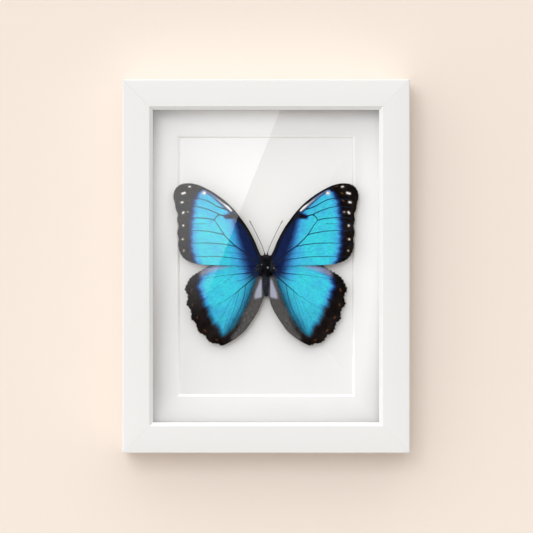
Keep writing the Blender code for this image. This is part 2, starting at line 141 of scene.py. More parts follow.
class BodySettings(bpy.types.PropertyGroup):
    """Fur and colours of the body"""

    skin: colour_property("Skin", "Blue-black of the body", (0.007, 0.0095, 0.017))
    fur: colour_property("Fur", "Hairs on the body", (0.006, 0.0055, 0.007))
    hair_length: length_property("Hair length", "Length of the thorax hairs", 1.25 * MM)
    hair_density: number_property("Hair density", "Hairs per square mm", 48.0)
    pale_fur: colour_property("Pale fur", "Sparse long hairs over the wing roots", (0.12, 0.135, 0.16))
    pale_density: number_property("Pale density", "Pale hairs per square mm", 4.0)
    seed: IntProperty(name="Seed", description="Seed for the hairs' places", default=7)


class StageSettings(bpy.types.PropertyGroup):
    """Wall, lights and camera"""

    wall: colour_property("Wall", "Warm wall paint", (0.875, 0.78, 0.703))
    distance: length_property("Camera distance", "From the camera to the frame's front", 1.59)
    lens: number_property("Lens", "Focal length in mm", 193.0)
    key_power: number_property("Key light", "Power of the soft window light in watts", 173.0)
    ambient: number_property("Ambient", "Strength of the surroundings", 0.805)
    slope_left: number_property("Slope left", "How much brighter the surroundings get to the left", 0.52)
    slope_up: number_property("Slope up", "How much brighter the surroundings get upwards", 1.12)
    glare: number_property("Glare", "Strength of the window's reflection", 2.9)


# ---------------------------------------------------------------- node helpers


def add_node(tree, kind, inputs=None, **settings):
    """Add a node, set its properties, and set or link its inputs."""
    node = tree.nodes.new(kind)
    for name, value in settings.items():
        setattr(node, name, value)
    for key, value in (inputs or {}).items():
        socket = node.inputs[key]
        if isinstance(value, bpy.types.NodeSocket):
            tree.links.new(value, socket)
        else:
            socket.default_value = value
    return node


def calculate(tree, operation, first, second=0.0, third=0.0):
    """One step of arithmetic."""
    node = add_node(tree, "ShaderNodeMath", {0: first, 1: second, 2: third}, operation=operation)
    return node.outputs[0]


def weighted_sum(tree, first, first_weight, second, second_weight):
    """Two values added by their weights."""
    other = calculate(tree, "MULTIPLY", second, second_weight)
    return calculate(tree, "MULTIPLY_ADD", first, first_weight, other)


def fade(tree, value, start, end, low=0.0, high=1.0):
    """A smooth step from low to high as the value goes from start to end."""
    inputs = {"Value": value, "From Min": start, "From Max": end, "To Min": low, "To Max": high}
    node = add_node(tree, "ShaderNodeMapRange", inputs, interpolation_type="SMOOTHSTEP")
    return node.outputs["Result"]


def blend(tree, factor, first, second, mode="MIX"):
    """Mix two colours."""
    node = add_node(tree, "ShaderNodeMix", data_type="RGBA", blend_type=mode, clamp_factor=True)
    for key, value in (("Factor_Float", factor), ("A_Color", first), ("B_Color", second)):
        socket = next(s for s in node.inputs if s.identifier == key)
        if isinstance(value, bpy.types.NodeSocket):
            tree.links.new(value, socket)
        elif key == "Factor_Float":
            socket.default_value = value
        else:
            socket.default_value = (*value[:3], 1.0)
    return next(s for s in node.outputs if s.identifier == "Result_Color")


def noise(tree, vector, scale, detail=2.0, roughness=0.5):
    """Soft noise from 0 to 1."""
    inputs = {"Vector": vector, "Scale": scale, "Detail": detail, "Roughness": roughness}
    return add_node(tree, "ShaderNodeTexNoise", inputs).outputs["Fac"]


def stretched(tree, vector, scale):
    """A vector stretched along its axes, for grain."""
    return add_node(tree, "ShaderNodeMapping", {"Vector": vector, "Scale": scale}).outputs["Vector"]


def attribute(tree, name, output="Fac"):
    """A field that the mesh carries."""
    node = add_node(tree, "ShaderNodeAttribute", attribute_name=name)
    return node.outputs[output]


def colour_ramp(tree, factor, stops):
    """A ramp whose stops are (position, colour)."""
    node = add_node(tree, "ShaderNodeValToRGB", {"Fac": factor})
    elements = node.color_ramp.elements
    while len(elements) < len(stops):
        elements.new(1.0)
    for element, (position, colour) in zip(elements, stops):
        element.position = position
        element.color = (*colour[:3], 1.0)
    return node.outputs["Color"]


def new_finish(name, roughness, metallic=0.0):
    """A material with its tree, its shader and its object coordinates."""
    material = bpy.data.materials.new(name)
    material.use_nodes = True
    tree = material.node_tree
    shader = tree.nodes["Principled BSDF"]
    shader.inputs["Roughness"].default_value = roughness
    shader.inputs["Metallic"].default_value = metallic
    place = add_node(tree, "ShaderNodeTexCoord").outputs["Object"]
    return material, tree, shader, place


def mix_shaders(tree, factor, first, second):
    """The first shader where the factor is 0 and the second where it is 1."""
    return add_node(tree, "ShaderNodeMixShader", {0: factor, 1: first, 2: second}).outputs["Shader"]


def set_colour(tree, shader, colour):
    """Link a colour to the shader's base colour."""
    tree.links.new(colour, shader.inputs["Base Color"])


def set_bump(tree, shader, height, distance, strength=1.0):
    """Link a height to the shader's normal as relief."""
    inputs = {"Height": height, "Distance": distance, "Strength": strength}
    bump = add_node(tree, "ShaderNodeBump", inputs)
    tree.links.new(bump.outputs["Normal"], shader.inputs["Normal"])


# ---------------------------------------------------------------- finishes


def shaded(colour, amount):
    """The same colour, lighter or darker."""
    return tuple(min(channel * amount, 1.0) for channel in colour)


def two_tone(tree, factor, colour, dark, light):
    """A colour that goes from a darker to a lighter shade of itself with the factor."""
    return blend(tree, factor, shaded(colour, dark), shaded(colour, light))


def satin_paint(name, colour, grain_axis):
    """Sprayed satin paint over wood, with a trace of the grain along one axis."""
    material, tree, shader, place = new_finish(name, 0.42)
    shader.inputs["Coat Weight"].default_value = 0.7
    shader.inputs["Coat Roughness"].default_value = 0.22
    spray = noise(tree, place, 1500.0, detail=3.0)
    along = [900.0, 900.0, 900.0]
    along[grain_axis] = 25.0
    grain = noise(tree, stretched(tree, place, along), 1.0, detail=4.0)
    clouds = noise(tree, place, 22.0)
    tone = weighted_sum(tree, clouds, 0.6, grain, 0.4)
    set_colour(tree, shader, two_tone(tree, tone, colour, 0.985, 1.012))
    height = calculate(tree, "MULTIPLY_ADD", grain, 0.6, spray)
    set_bump(tree, shader, height, 0.012 * MM, 0.6)
    tree.links.new(fade(tree, spray, 0.3, 0.7, 0.38, 0.48), shader.inputs["Roughness"])
    return material


def card_finish(name, colour, tooth=0.02 * MM):
    """Matt card or paper with a fine tooth."""
    material, tree, shader, place = new_finish(name, 0.9)
    shader.inputs["Specular IOR Level"].default_value = 0.25
    fibre = noise(tree, place, 3200.0, detail=4.0, roughness=0.65)
    clouds = noise(tree, place, 60.0, detail=3.0)
    tone = weighted_sum(tree, fibre, 0.5, clouds, 0.5)
    set_colour(tree, shader, two_tone(tree, tone, colour, 0.985, 1.012))
    set_bump(tree, shader, fibre, tooth, 0.7)
    return material


def hardboard_finish():
    """Brown pressed board with flecks of fibre."""
    material, tree, shader, place = new_finish("hardboard_brown", 0.72)
    fleck = noise(tree, stretched(tree, place, (1800.0, 1800.0, 420.0)), 1.0, detail=5.0, roughness=0.7)
    cross_fleck = noise(tree, stretched(tree, place, (380.0, 1500.0, 2100.0)), 1.0, detail=5.0, roughness=0.7)
    clouds = noise(tree, place, 28.0, detail=3.0)
    fibres = calculate(tree, "MAXIMUM", fleck, cross_fleck)
    tone = weighted_sum(tree, clouds, 0.35, fibres, 0.75)
    stops = [(0.3, (0.075, 0.04, 0.02)), (0.52, (0.2, 0.115, 0.058)), (0.75, (0.34, 0.215, 0.12))]
    set_colour(tree, shader, colour_ramp(tree, tone, stops))
    set_bump(tree, shader, fibres, 0.06 * MM, 0.8)
    return material


def metal_finish(name, colour, roughness, brush_axis):
    """Plated sheet metal, brushed one way, with dull patches."""
    material, tree, shader, place = new_finish(name, roughness, metallic=1.0)
    scale = [5200.0, 5200.0, 5200.0]
    scale[brush_axis] = 160.0
    brushing = noise(tree, stretched(tree, place, scale), 1.0, detail=3.0)
    patches = noise(tree, place, 420.0, detail=3.0)
    set_colour(tree, shader, two_tone(tree, patches, colour, 0.78, 1.1))
    rough = weighted_sum(tree, patches, 0.22, brushing, 0.12)
    tree.links.new(calculate(tree, "ADD", rough, roughness - 0.12), shader.inputs["Roughness"])
    set_bump(tree, shader, brushing, 0.01 * MM, 0.5)
    return material


def picture_glass():
    """Clear float glass to the eye, which lets the light inside the box through unbent."""
    material, tree, shader, _place = new_finish("picture_glass", 0.0)
    shader.inputs["Base Color"].default_value = (0.992, 1.0, 0.997, 1.0)
    shader.inputs["Transmission Weight"].default_value = 1.0
    shader.inputs["IOR"].default_value = 1.5
    seen = add_node(tree, "ShaderNodeLightPath").outputs["Is Camera Ray"]
    clear = add_node(tree, "ShaderNodeBsdfTransparent").outputs["BSDF"]
    surface = mix_shaders(tree, seen, clear, shader.outputs["BSDF"])
    tree.links.new(surface, tree.nodes["Material Output"].inputs["Surface"])
    return material


def wing_finish(name, settings, feather):
    """Scaled wing membrane: blue bands, a mottled border, veins and pale spots.

    The mesh carries the fields: blue_depth, vein_gap, spot_gap and ochre_gap in mm, the shares teal,
    vein_ink, lilac and fold, and rows, whose x is the angle about the wing's root, y the distance from it in
    mm and z the side. The feather is how far in mm the streaks shift the bands.
    """
    material, tree, shader, place = new_finish(name, 0.5)
    shader.inputs["Specular IOR Level"].default_value = 0.06
    rows = attribute(tree, "rows", "Vector")
    streaks = noise(tree, stretched(tree, rows, (42.0, 0.16, 1.0)), 1.0, detail=3.0, roughness=0.6)
    fine_streaks = noise(tree, stretched(tree, rows, (130.0, 0.45, 1.0)), 1.0, detail=3.0, roughness=0.65)
    dust = noise(tree, place, 2600.0, detail=2.0)
    clouds = noise(tree, place, 150.0, detail=3.0)
    jitter = calculate(tree, "SUBTRACT", calculate(tree, "MULTIPLY_ADD", fine_streaks, 0.6, streaks), 0.8)
    depth = calculate(tree, "MULTIPLY_ADD", jitter, feather, attribute(tree, "blue_depth"))
    blue = blue_bands(tree, settings, depth)
    # painted sheen: streaky patches of the bright blue lifted towards azure, standing in for the wings'
    # iridescent shine
    painted_sheen = weighted_sum(tree, streaks, 0.6, clouds, 0.4)
    shift = fade(tree, painted_sheen, 0.58, 0.36, 0.0, 0.6)
    shift = calculate(tree, "MULTIPLY", shift, fade(tree, depth, 1.0, 3.0))
    blue = blend(tree, shift, blue, settings.azure)
    dusk = calculate(tree, "MULTIPLY", fade(tree, fine_streaks, 0.5, 0.36), fade(tree, depth, 1.6, 0.2))
    blue = blend(tree, calculate(tree, "MULTIPLY", dusk, 0.65), blue, settings.border)
    tone = weighted_sum(tree, fine_streaks, 0.75, dust, 0.3)
    shade = colour_ramp(tree, tone, [(0.34, (0.6,) * 3), (0.66, (1.25,) * 3)])
    blue = blend(tree, 1.0, blue, shade, "MULTIPLY")
    shades = ((0.38, 0.4), (0.52, 1.2), (0.66, 4.0))
    stops = [(position, shaded(settings.border, amount)) for position, amount in shades]
    mottle = colour_ramp(tree, weighted_sum(tree, dust, 0.5, clouds, 0.5), stops)
    colour = blend(tree, fade(tree, depth, -0.5, -1.3), blue, mottle)
    set_colour(tree, shader, wing_marks(tree, settings, colour, jitter, fine_streaks))
    cells = add_node(
        tree, "ShaderNodeTexVoronoi", {"Vector": stretched(tree, rows, (420.0, 5.5, 1.0)), "Scale": 1.0}
    ).outputs["Distance"]
    set_bump(tree, shader, calculate(tree, "MULTIPLY_ADD", fine_streaks, 0.8, cells), 0.03 * MM, 0.5)
    return material


def blue_bands(tree, settings, depth):
    """The wing's blues by their depth in mm from the dark border, duller where the teal field says so."""
    # the ramps run from 2 mm outside the border's inner edge to 8 mm inside it
    band = calculate(tree, "MULTIPLY_ADD", depth, 0.1, 0.2)
    bright_stops = [
        (0.06, settings.border),
        (0.16, shaded(settings.navy, 0.7)),
        (0.215, settings.navy),
        (0.31, settings.royal),
        (0.45, settings.azure),
        (0.65, settings.cyan),
    ]
    dull_stops = [
        (0.06, settings.border),
        (0.2, (0.04, 0.042, 0.05)),
        (0.25, shaded(settings.teal, 0.45)),
        (0.4, settings.teal),
        (0.65, settings.cyan),
    ]
    bright = colour_ramp(tree, band, bright_stops)
    return blend(tree, attribute(tree, "teal"), bright, colour_ramp(tree, band, dull_stops))


def wing_marks(tree, settings, colour, jitter, fine_streaks):
    """The lilac patches, pale fold, orange marks, veins and white spots over a wing's colour."""
    lilac = fade(tree, fine_streaks, 0.35, 0.6, 0.7, 1.0)
    lilac = calculate(tree, "MULTIPLY", attribute(tree, "lilac"), lilac)
    colour = blend(tree, lilac, colour, settings.lilac)
    stops = [(0.35, (0.035, 0.033, 0.034)), (0.65, (0.14, 0.132, 0.13))]
    fold_tone = colour_ramp(tree, fine_streaks, stops)
    fold = calculate(tree, "MULTIPLY_ADD", jitter, 0.7, attribute(tree, "fold"))
    colour = blend(tree, fade(tree, fold, 0.1, 0.9), colour, fold_tone)
    ochre = calculate(tree, "MULTIPLY_ADD", jitter, 0.5, attribute(tree, "ochre_gap"))
    ochre = calculate(tree, "MULTIPLY", fade(tree, ochre, 0.35, -0.25), 0.55)
    colour = blend(tree, ochre, colour, settings.ochre)
    vein = fade(tree, attribute(tree, "vein_gap"), 0.26, -0.04)
    ink = calculate(tree, "MULTIPLY", vein, attribute(tree, "vein_ink"))
    colour = blend(tree, ink, colour, settings.vein_ink)
    gap = attribute(tree, "spot_gap")
    halo = calculate(tree, "MULTIPLY", fade(tree, gap, 0.75, 0.0), 0.16)
    colour = blend(tree, halo, colour, settings.spots)
    core = fade(tree, calculate(tree, "MULTIPLY_ADD", jitter, 0.2, gap), 0.14, -0.2)
    return blend(tree, core, colour, settings.spots)


def underside_finish(settings):
    """Brown underside with paler bands, and ringed eyespots by the eye_gap field, 3 at their rims."""
    material, tree, shader, place = new_finish("wing_underside", 0.65)
    rows = attribute(tree, "rows", "Vector")
    bands = noise(tree, stretched(tree, rows, (3.0, 0.22, 1.0)), 1.0, detail=4.0)
    dust = noise(tree, place, 1800.0)
    tone = weighted_sum(tree, dust, 0.2, bands, 0.8)
    stops = [(0.36, shaded(settings.underside, 0.35)), (0.5, settings.underside)]
    stops.append((0.66, shaded(settings.underside, 2.6)))
    colour = colour_ramp(tree, tone, stops)
    pupil = (0.012, 0.01, 0.01)
    gold = (0.5, 0.36, 0.12)
    rings = [(0.0, (0.75, 0.74, 0.7)), (0.12, pupil), (0.42, pupil), (0.5, gold), (0.66, gold)]
    rings += [(0.75, (0.02, 0.015, 0.01)), (0.86, (0.32, 0.27, 0.2))]
    gap = attribute(tree, "eye_gap")
    eye = colour_ramp(tree, calculate(tree, "MULTIPLY", gap, 0.3), rings)
    colour = blend(tree, fade(tree, gap, 3.3, 2.9), colour, eye)
    vein = fade(tree, attribute(tree, "vein_gap"), 0.25, 0.0)
    colour = blend(tree, vein, colour, shaded(settings.underside, 0.3))
    set_colour(tree, shader, colour)
    set_bump(tree, shader, dust, 0.02 * MM, 0.5)
    return material


def skin_finish(name, colour, ring):
    """Dry dark skin with a fine pitted grain, and dark rings around Z, one for each ring length."""
    material, tree, shader, place = new_finish(name, 0.45)
    shader.inputs["Specular IOR Level"].default_value = 0.25
    pits = noise(tree, place, 3800.0, detail=3.0)
    clouds = noise(tree, place, 700.0)
    tone = two_tone(tree, clouds, colour, 0.6, 1.9)
    height = add_node(tree, "ShaderNodeSeparateXYZ", {"Vector": place}).outputs["Z"]
    height = calculate(tree, "SUBTRACT", height, CENTRE_Z)
    phase = calculate(tree, "FLOORED_MODULO", calculate(tree, "DIVIDE", height, ring), 1.0)
    tone = blend(tree, fade(tree, phase, 0.25, 0.95), tone, shaded(colour, 2.4))
    tone = blend(tree, fade(tree, phase, 0.16, 0.02), tone, shaded(colour, 0.3))
    set_colour(tree, shader, tone)
    set_bump(tree, shader, pits, 0.03 * MM, 0.8)
    return material


def fur_finish(name, colour, spread=1.6):
    """Hair whose shade differs from tuft to tuft."""
    material, tree, shader, place = new_finish(name, 0.6)
    shader.inputs["Specular IOR Level"].default_value = 0.15
    tufts = noise(tree, place, 1100.0, detail=2.0)
    strands = noise(tree, place, 6000.0)
    tone = weighted_sum(tree, strands, 0.5, tufts, 0.5)
    set_colour(tree, shader, two_tone(tree, fade(tree, tone, 0.35, 0.65), colour, 1.0 / spread, spread))
    return material


def eye_finish():
    """Dark brown facetted eye."""
    material, tree, shader, place = new_finish("eye_brown", 0.32)
    shader.inputs["Specular IOR Level"].default_value = 0.25
    facets = add_node(tree, "ShaderNodeTexVoronoi", {"Vector": place, "Scale": 9000.0}).outputs["Distance"]
    set_colour(tree, shader, blend(tree, facets, (0.006, 0.004, 0.004), (0.02, 0.012, 0.009)))
    set_bump(tree, shader, facets, 0.02 * MM, 0.6)
    return material


# ---------------------------------------------------------------- shapes


def make_mesh(name, points, faces, materials=(), smooth=True):
    """A mesh from its points and faces."""
    mesh = bpy.data.meshes.new(name)
    mesh.from_pydata([tuple(p) for p in points], [], [tuple(f) for f in faces])
    for material in materials:
        mesh.materials.append(material)
    if smooth:
        mesh.shade_smooth()
    mesh.update()
    return mesh


def faces_outward(mesh, merged=0.0):
    """Turn a mesh's faces outward, once points nearer to each other than the merged distance are one."""
    shape = bmesh.new()
    shape.from_mesh(mesh)
    if merged:
        bmesh.ops.remove_doubles(shape, verts=shape.verts, dist=merged)
    bmesh.ops.recalc_face_normals(shape, faces=shape.faces)
    shape.to_mesh(mesh)
    shape.free()


def link_object(name, data):
    """A new object in the scene."""
    item = bpy.data.objects.new(name, data)
    bpy.context.scene.collection.objects.link(item)
    return item


def place_piece(name, mesh, replaced=()):
    """Link a finished mesh, ride it on the body and hide the CAD nodes it stands for."""
    piece = link_object(name, mesh)
    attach(piece, BODY)
    if replaced:
        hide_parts(*replaced)
    return piece


def evaluated_mesh(source):
    """The object's mesh with its modifiers applied; the object itself is removed."""
    depsgraph = bpy.context.evaluated_depsgraph_get()
    mesh = bpy.data.meshes.new_from_object(source.evaluated_get(depsgraph))
    bpy.data.objects.remove(source, do_unlink=True)
    return mesh


def run_tree(name, mesh, tree, values):
    """Run a Geometry Nodes tree over a mesh and keep its result as a plain mesh."""
    source = link_object(name, mesh)
    modifier = source.modifiers.new("grow", "NODES")
    modifier.node_group = tree
    for item in tree.interface.items_tree:
        if item.item_type == "SOCKET" and item.in_out == "INPUT" and item.name in values:
            modifier[item.identifier] = values[item.name]
    return evaluated_mesh(source)


def joined(name, meshes):
    """Several meshes as one, with their materials kept."""
    shape = bmesh.new()
    materials = []
    for mesh in meshes:
        first_face = len(shape.faces)
        shape.from_mesh(mesh)
        shape.faces.ensure_lookup_table()
        for material in mesh.materials:
            if material not in materials:
                materials.append(material)
        for face in shape.faces[first_face:]:
            face.material_index = materials.index(mesh.materials[face.material_index])
    result = bpy.data.meshes.new(name)
    shape.to_mesh(result)
    shape.free()
    for material in materials:
        result.materials.append(material)
    return result


def welded_copy(node):
    """A CAD node's mesh with its loose triangles merged into flat faces."""
    shape = bmesh.new()
    shape.from_mesh(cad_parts[node].data)
    bmesh.ops.remove_doubles(shape, verts=shape.verts, dist=WELD)
    flat = math.radians(0.5)
    bmesh.ops.dissolve_limit(shape, angle_limit=flat, verts=shape.verts, edges=shape.edges)
    mesh = bpy.data.meshes.new(node + "_copy")
    shape.to_mesh(mesh)
    shape.free()
    return mesh


def softened(name, mesh, width, material, segments=2, smooth_angle=None):
    """A mesh with its sharp edges rounded. Its faces stay flat unless a smooth angle is given."""
    mesh.materials.clear()
    mesh.materials.append(material)
    source = link_object(name, mesh)
    bevel = source.modifiers.new("soften", "BEVEL")
    bevel.width = width
    bevel.segments = segments
    bevel.limit_method = "ANGLE"
    bevel.angle_limit = math.radians(28.0)
    bevel.use_clamp_overlap = True
    if smooth_angle is None:
        mesh.shade_smooth()
        bevel.harden_normals = True
        return evaluated_mesh(source)
    result = evaluated_mesh(source)
    result.shade_smooth()
    result.set_sharp_from_angle(angle=math.radians(smooth_angle))
    return result


def lathe(name, profile, steps, materials):
    """A profile of (radius, height) turned about Z. Its first and last points lie on the axis."""
    points = [Vector((0.0, 0.0, profile[0][1]))]
    for radius, height in profile[1:-1]:
        for step in range(steps):
            turn = math.tau * step / steps
            points.append(Vector((radius * math.cos(turn), radius * math.sin(turn), height)))
    points.append(Vector((0.0, 0.0, profile[-1][1])))
    faces = []
    rings = len(profile) - 2
    last = len(points) - 1
    for step in range(steps):
        following = (step + 1) % steps
        faces.append((0, 1 + step, 1 + following))
        for ring in range(rings - 1):
            upper = 1 + ring * steps
            lower = upper + steps
            faces.append((upper + step, lower + step, lower + following, upper + following))
        end = 1 + (rings - 1) * steps
        faces.append((last, end + following, end + step))
    mesh = make_mesh(name, points, faces, materials)
    faces_outward(mesh)
    return mesh


# ---------------------------------------------------------------- Geometry Nodes trees


def new_tree(name, inputs):
    """A tree with a geometry in and out and the named inputs (name, socket kind, default)."""
    tree = bpy.data.node_groups.new(name, "GeometryNodeTree")
    tree.interface.new_socket("Geometry", in_out="INPUT", socket_type="NodeSocketGeometry")
    for label, kind, default in inputs:
        socket = tree.interface.new_socket(label, in_out="INPUT", socket_type=kind)
        if default is not None:
            socket.default_value = default
    tree.interface.new_socket("Geometry", in_out="OUTPUT", socket_type="NodeSocketGeometry")
    entry = tree.nodes.new("NodeGroupInput")
    return tree, entry.outputs


def finish_tree(tree, shape, material):
    """Realize the instances, set the material and end the tree."""
    real = add_node(tree, "GeometryNodeRealizeInstances", {"Geometry": shape})
    smooth = add_node(tree, "GeometryNodeSetShadeSmooth", {"Geometry": real.outputs["Geometry"]})
    painted = add_node(
        tree, "GeometryNodeSetMaterial", {"Geometry": smooth.outputs["Geometry"], "Material": material}
    )
    leave = tree.nodes.new("NodeGroupOutput")
    tree.links.new(painted.outputs["Geometry"], leave.inputs["Geometry"])


def named(tree, name, data_type):
    """A named attribute of the geometry."""
    node = add_node(tree, "GeometryNodeInputNamedAttribute", {"Name": name}, data_type=data_type)
    return node.outputs["Attribute"]


def random_value(tree, low, high, seed, vector=False):
    """An even random number, or vector, for each point."""
    kind = "FLOAT_VECTOR" if vector else "FLOAT"
    node = add_node(tree, "FunctionNodeRandomValue", {"Seed": seed}, data_type=kind)
    sockets = [s for s in node.inputs if s.enabled and s.name in ("Min", "Max")]
    for socket, value in zip(sockets, (low, high)):
        socket.default_value = value
    return next(s for s in node.outputs if s.enabled)


def tube_tree():
    """A round tube along each line, as thick as the line's girth attribute says."""
    tree, given = new_tree(
        "tubes_along_lines",
        [
            ("Thickness", "NodeSocketFloat", 1.0),
            ("Sides", "NodeSocketInt", 8),
            ("Material", "NodeSocketMaterial", None),
        ],
    )
    curve = add_node(tree, "GeometryNodeMeshToCurve", {"Mesh": given["Geometry"]})
    ring = add_node(
        tree, "GeometryNodeCurvePrimitiveCircle", {"Resolution": given["Sides"], "Radius": 1.0}
    )
    girth = calculate(tree, "MULTIPLY", named(tree, "girth", "FLOAT"), given["Thickness"])
    tube = add_node(
        tree,
        "GeometryNodeCurveToMesh",
        {
            "Curve": curve.outputs["Curve"],
            "Profile Curve": ring.outputs["Curve"],
            "Scale": girth,
            "Fill Caps": True,
        },
    )
    finish_tree(tree, tube.outputs["Mesh"], given["Material"])
    return tree


def bristle(tree, sides, rings, taper, bend):
    """One tapered hair, one unit long, bent towards +X at its tip."""
    inputs = {"Resolution": rings, "Start": (0, 0, 0), "Middle": (0, 0, 0.55), "End": (bend, 0, 1.0)}
    line = add_node(tree, "GeometryNodeCurveQuadraticBezier", inputs)
    along = add_node(tree, "GeometryNodeSplineParameter").outputs["Factor"]
    girth = calculate(tree, "MULTIPLY_ADD", along, -taper * 0.85, taper)
    ring = add_node(tree, "GeometryNodeCurvePrimitiveCircle", {"Resolution": sides, "Radius": 1.0})
    hair = add_node(
        tree,
        "GeometryNodeCurveToMesh",
        {
            "Curve": line.outputs["Curve"],
            "Profile Curve": ring.outputs["Curve"],
            "Scale": girth,
            "Fill Caps": True,
        },
    )
    return hair.outputs["Mesh"]


def aimed_rotation(tree, direction, seed):
    """A rotation that points +Z along a direction and turns each instance about it at random."""
    aim = add_node(tree, "FunctionNodeAlignRotationToVector", {"Vector": direction}, axis="Z")
    spin = random_value(tree, 0.0, math.tau, seed)
    about_own_axis = add_node(
        tree, "FunctionNodeAxisAngleToRotation", {"Axis": (0.0, 0.0, 1.0), "Angle": spin}
    )
    turned = add_node(
        tree,
        "FunctionNodeRotateRotation",
        {0: aim.outputs["Rotation"], 1: about_own_axis.outputs["Rotation"]},
        rotation_space="LOCAL",
    )
    return turned.outputs["Rotation"]


def vector_sum(tree, first, second):
    """Two vectors added."""
    return add_node(tree, "ShaderNodeVectorMath", {0: first, 1: second}, operation="ADD").outputs["Vector"]


def even_scale(tree, size):
    """The same scale along each axis."""
    return add_node(tree, "ShaderNodeCombineXYZ", {"X": size, "Y": size, "Z": size}).outputs["Vector"]


def fringe_tree():
    """Short scales set along a margin, each pointing the way of the line's outward attribute."""
    tree, given = new_tree(
        "fringe_along_margin",
        [
            ("Spacing", "NodeSocketFloat", 0.2 * MM),
            ("Length", "NodeSocketFloat", 0.5 * MM),
            ("Seed", "NodeSocketInt", 3),
            ("Material", "NodeSocketMaterial", None),
        ],
    )
    curve = add_node(tree, "GeometryNodeMeshToCurve", {"Mesh": given["Geometry"]})
    inputs = {"Curve": curve.outputs["Curve"], "Length": given["Spacing"]}
    steps = add_node(tree, "GeometryNodeResampleCurve", inputs, mode="LENGTH")
    wander = random_value(tree, (-0.35, -0.3, -0.35), (0.35, 0.15, 0.35), given["Seed"], vector=True)
    direction = vector_sum(tree, named(tree, "outward", "FLOAT_VECTOR"), wander)
    size = calculate(tree, "MULTIPLY", random_value(tree, 0.5, 1.15, given["Seed"]), given["Length"])
    size = calculate(tree, "MULTIPLY", size, named(tree, "hair_share", "FLOAT"))
    scales = add_node(
        tree,
        "GeometryNodeInstanceOnPoints",
        {
            "Points": steps.outputs["Curve"],
            "Instance": bristle(tree, 3, 2, 0.09, 0.12),
            "Rotation": aimed_rotation(tree, direction, given["Seed"]),
            "Scale": even_scale(tree, size),
        },
    )
    finish_tree(tree, scales.outputs["Instances"], given["Material"])
    return tree


def fur_tree():
    """Hairs scattered over a skin by its hair_share, leaning along its lie attribute."""
    tree, given = new_tree(
        "fur_on_skin",
        [
            ("Density", "NodeSocketFloat", 1.0),
            ("Length", "NodeSocketFloat", 1.0 * MM),
            ("Seed", "NodeSocketInt", 1),
            ("Material", "NodeSocketMaterial", None),
        ],
    )
    share = named(tree, "hair_share", "FLOAT")
    density = calculate(tree, "MULTIPLY", given["Density"], share)
    inputs = {"Mesh": given["Geometry"], "Density": density, "Seed": given["Seed"]}
    scatter = add_node(tree, "GeometryNodeDistributePointsOnFaces", inputs)
    wander = random_value(tree, (-0.45,) * 3, (0.45,) * 3, given["Seed"], vector=True)
    lie = vector_sum(tree, named(tree, "lie", "FLOAT_VECTOR"), wander)
    direction = vector_sum(tree, scatter.outputs["Normal"], lie)
    size = calculate(tree, "MULTIPLY", random_value(tree, 0.45, 1.1, given["Seed"]), given["Length"])
    size = calculate(tree, "MULTIPLY", size, named(tree, "hair_length", "FLOAT"))
    hairs = add_node(
        tree,
        "GeometryNodeInstanceOnPoints",
        {
            "Points": scatter.outputs["Points"],
            "Instance": bristle(tree, 3, 3, 0.028, 0.3),
            "Rotation": aimed_rotation(tree, direction, given["Seed"]),
            "Scale": even_scale(tree, size),
        },
    )
    finish_tree(tree, hairs.outputs["Instances"], given["Material"])
    return tree


# ---------------------------------------------------------------- wing pattern
# All in mm for the right wing: x out from the body's axis, z up from the frame's centre.

FOREWING_ROOT = (2.0, 2.0)
HINDWING_ROOT = (3.0, -1.5)

# The front vein of the forewing, above which lies the strip beside the costa
FOREWING_FRONT_VEIN = [
    (3.0, 3.0), (6.5, 11.5), (11.0, 19.6), (15.0, 25.0), (18.4, 28.2), (22.5, 31.9), (26.1, 35.2),
    (29.7, 38.4), (33.8, 41.5),
]
FOREWING_CELL_VEIN = [
    (3.6, 2.8), (6.8, 4.2), (11.0, 7.0), (16.6, 10.9), (22.1, 16.0), (25.3, 20.4), (27.1, 23.3), (28.9, 25.7),
]
# Each vein's points, its widest half-width and its darkness
FOREWING_VEINS = [
    (FOREWING_FRONT_VEIN, 0.26, 1.0),
    ([(16.0, 26.8), (19.4, 31.9), (22.5, 35.3), (27.9, 39.3), (33.3, 42.5), (39.0, 44.6)], 0.2, 0.9),
    ([(17.6, 27.2), (20.4, 27.0), (23.2, 28.0), (25.8, 28.7), (27.6, 27.8), (28.9, 25.7)], 0.42, 1.0),
    (FOREWING_CELL_VEIN, 0.34, 0.9),
    ([(22.5, 31.7), (27.5, 33.5), (31.1, 35.6), (35.4, 37.4), (40.2, 37.8), (48.0, 37.0)], 0.24, 0.9),
    ([(25.8, 28.7), (29.7, 30.6), (36.1, 32.8), (41.2, 33.4), (48.5, 32.6)], 0.22, 0.85),
    ([(28.9, 25.7), (33.2, 26.7), (41.6, 27.1), (48.5, 27.0)], 0.22, 0.85),
    ([(33.5, 23.7), (41.4, 23.7), (48.6, 23.9)], 0.13, 0.5),
    ([(23.6, 17.6), (26.8, 18.4), (33.5, 19.6), (41.4, 19.9), (48.8, 19.6)], 0.2, 0.8),
    ([(16.8, 10.9), (24.0, 12.3), (33.0, 12.9), (42.0, 12.8), (48.8, 12.2)], 0.2, 0.8),
    ([(4.0, 2.4), (6.8, 2.6), (16.0, 4.2), (28.0, 5.4), (41.0, 5.2), (46.5, 5.0)], 0.2, 0.75),
    ([(9.5, 6.0), (18.0, 7.4), (26.0, 8.2)], 0.13, 0.4),
]
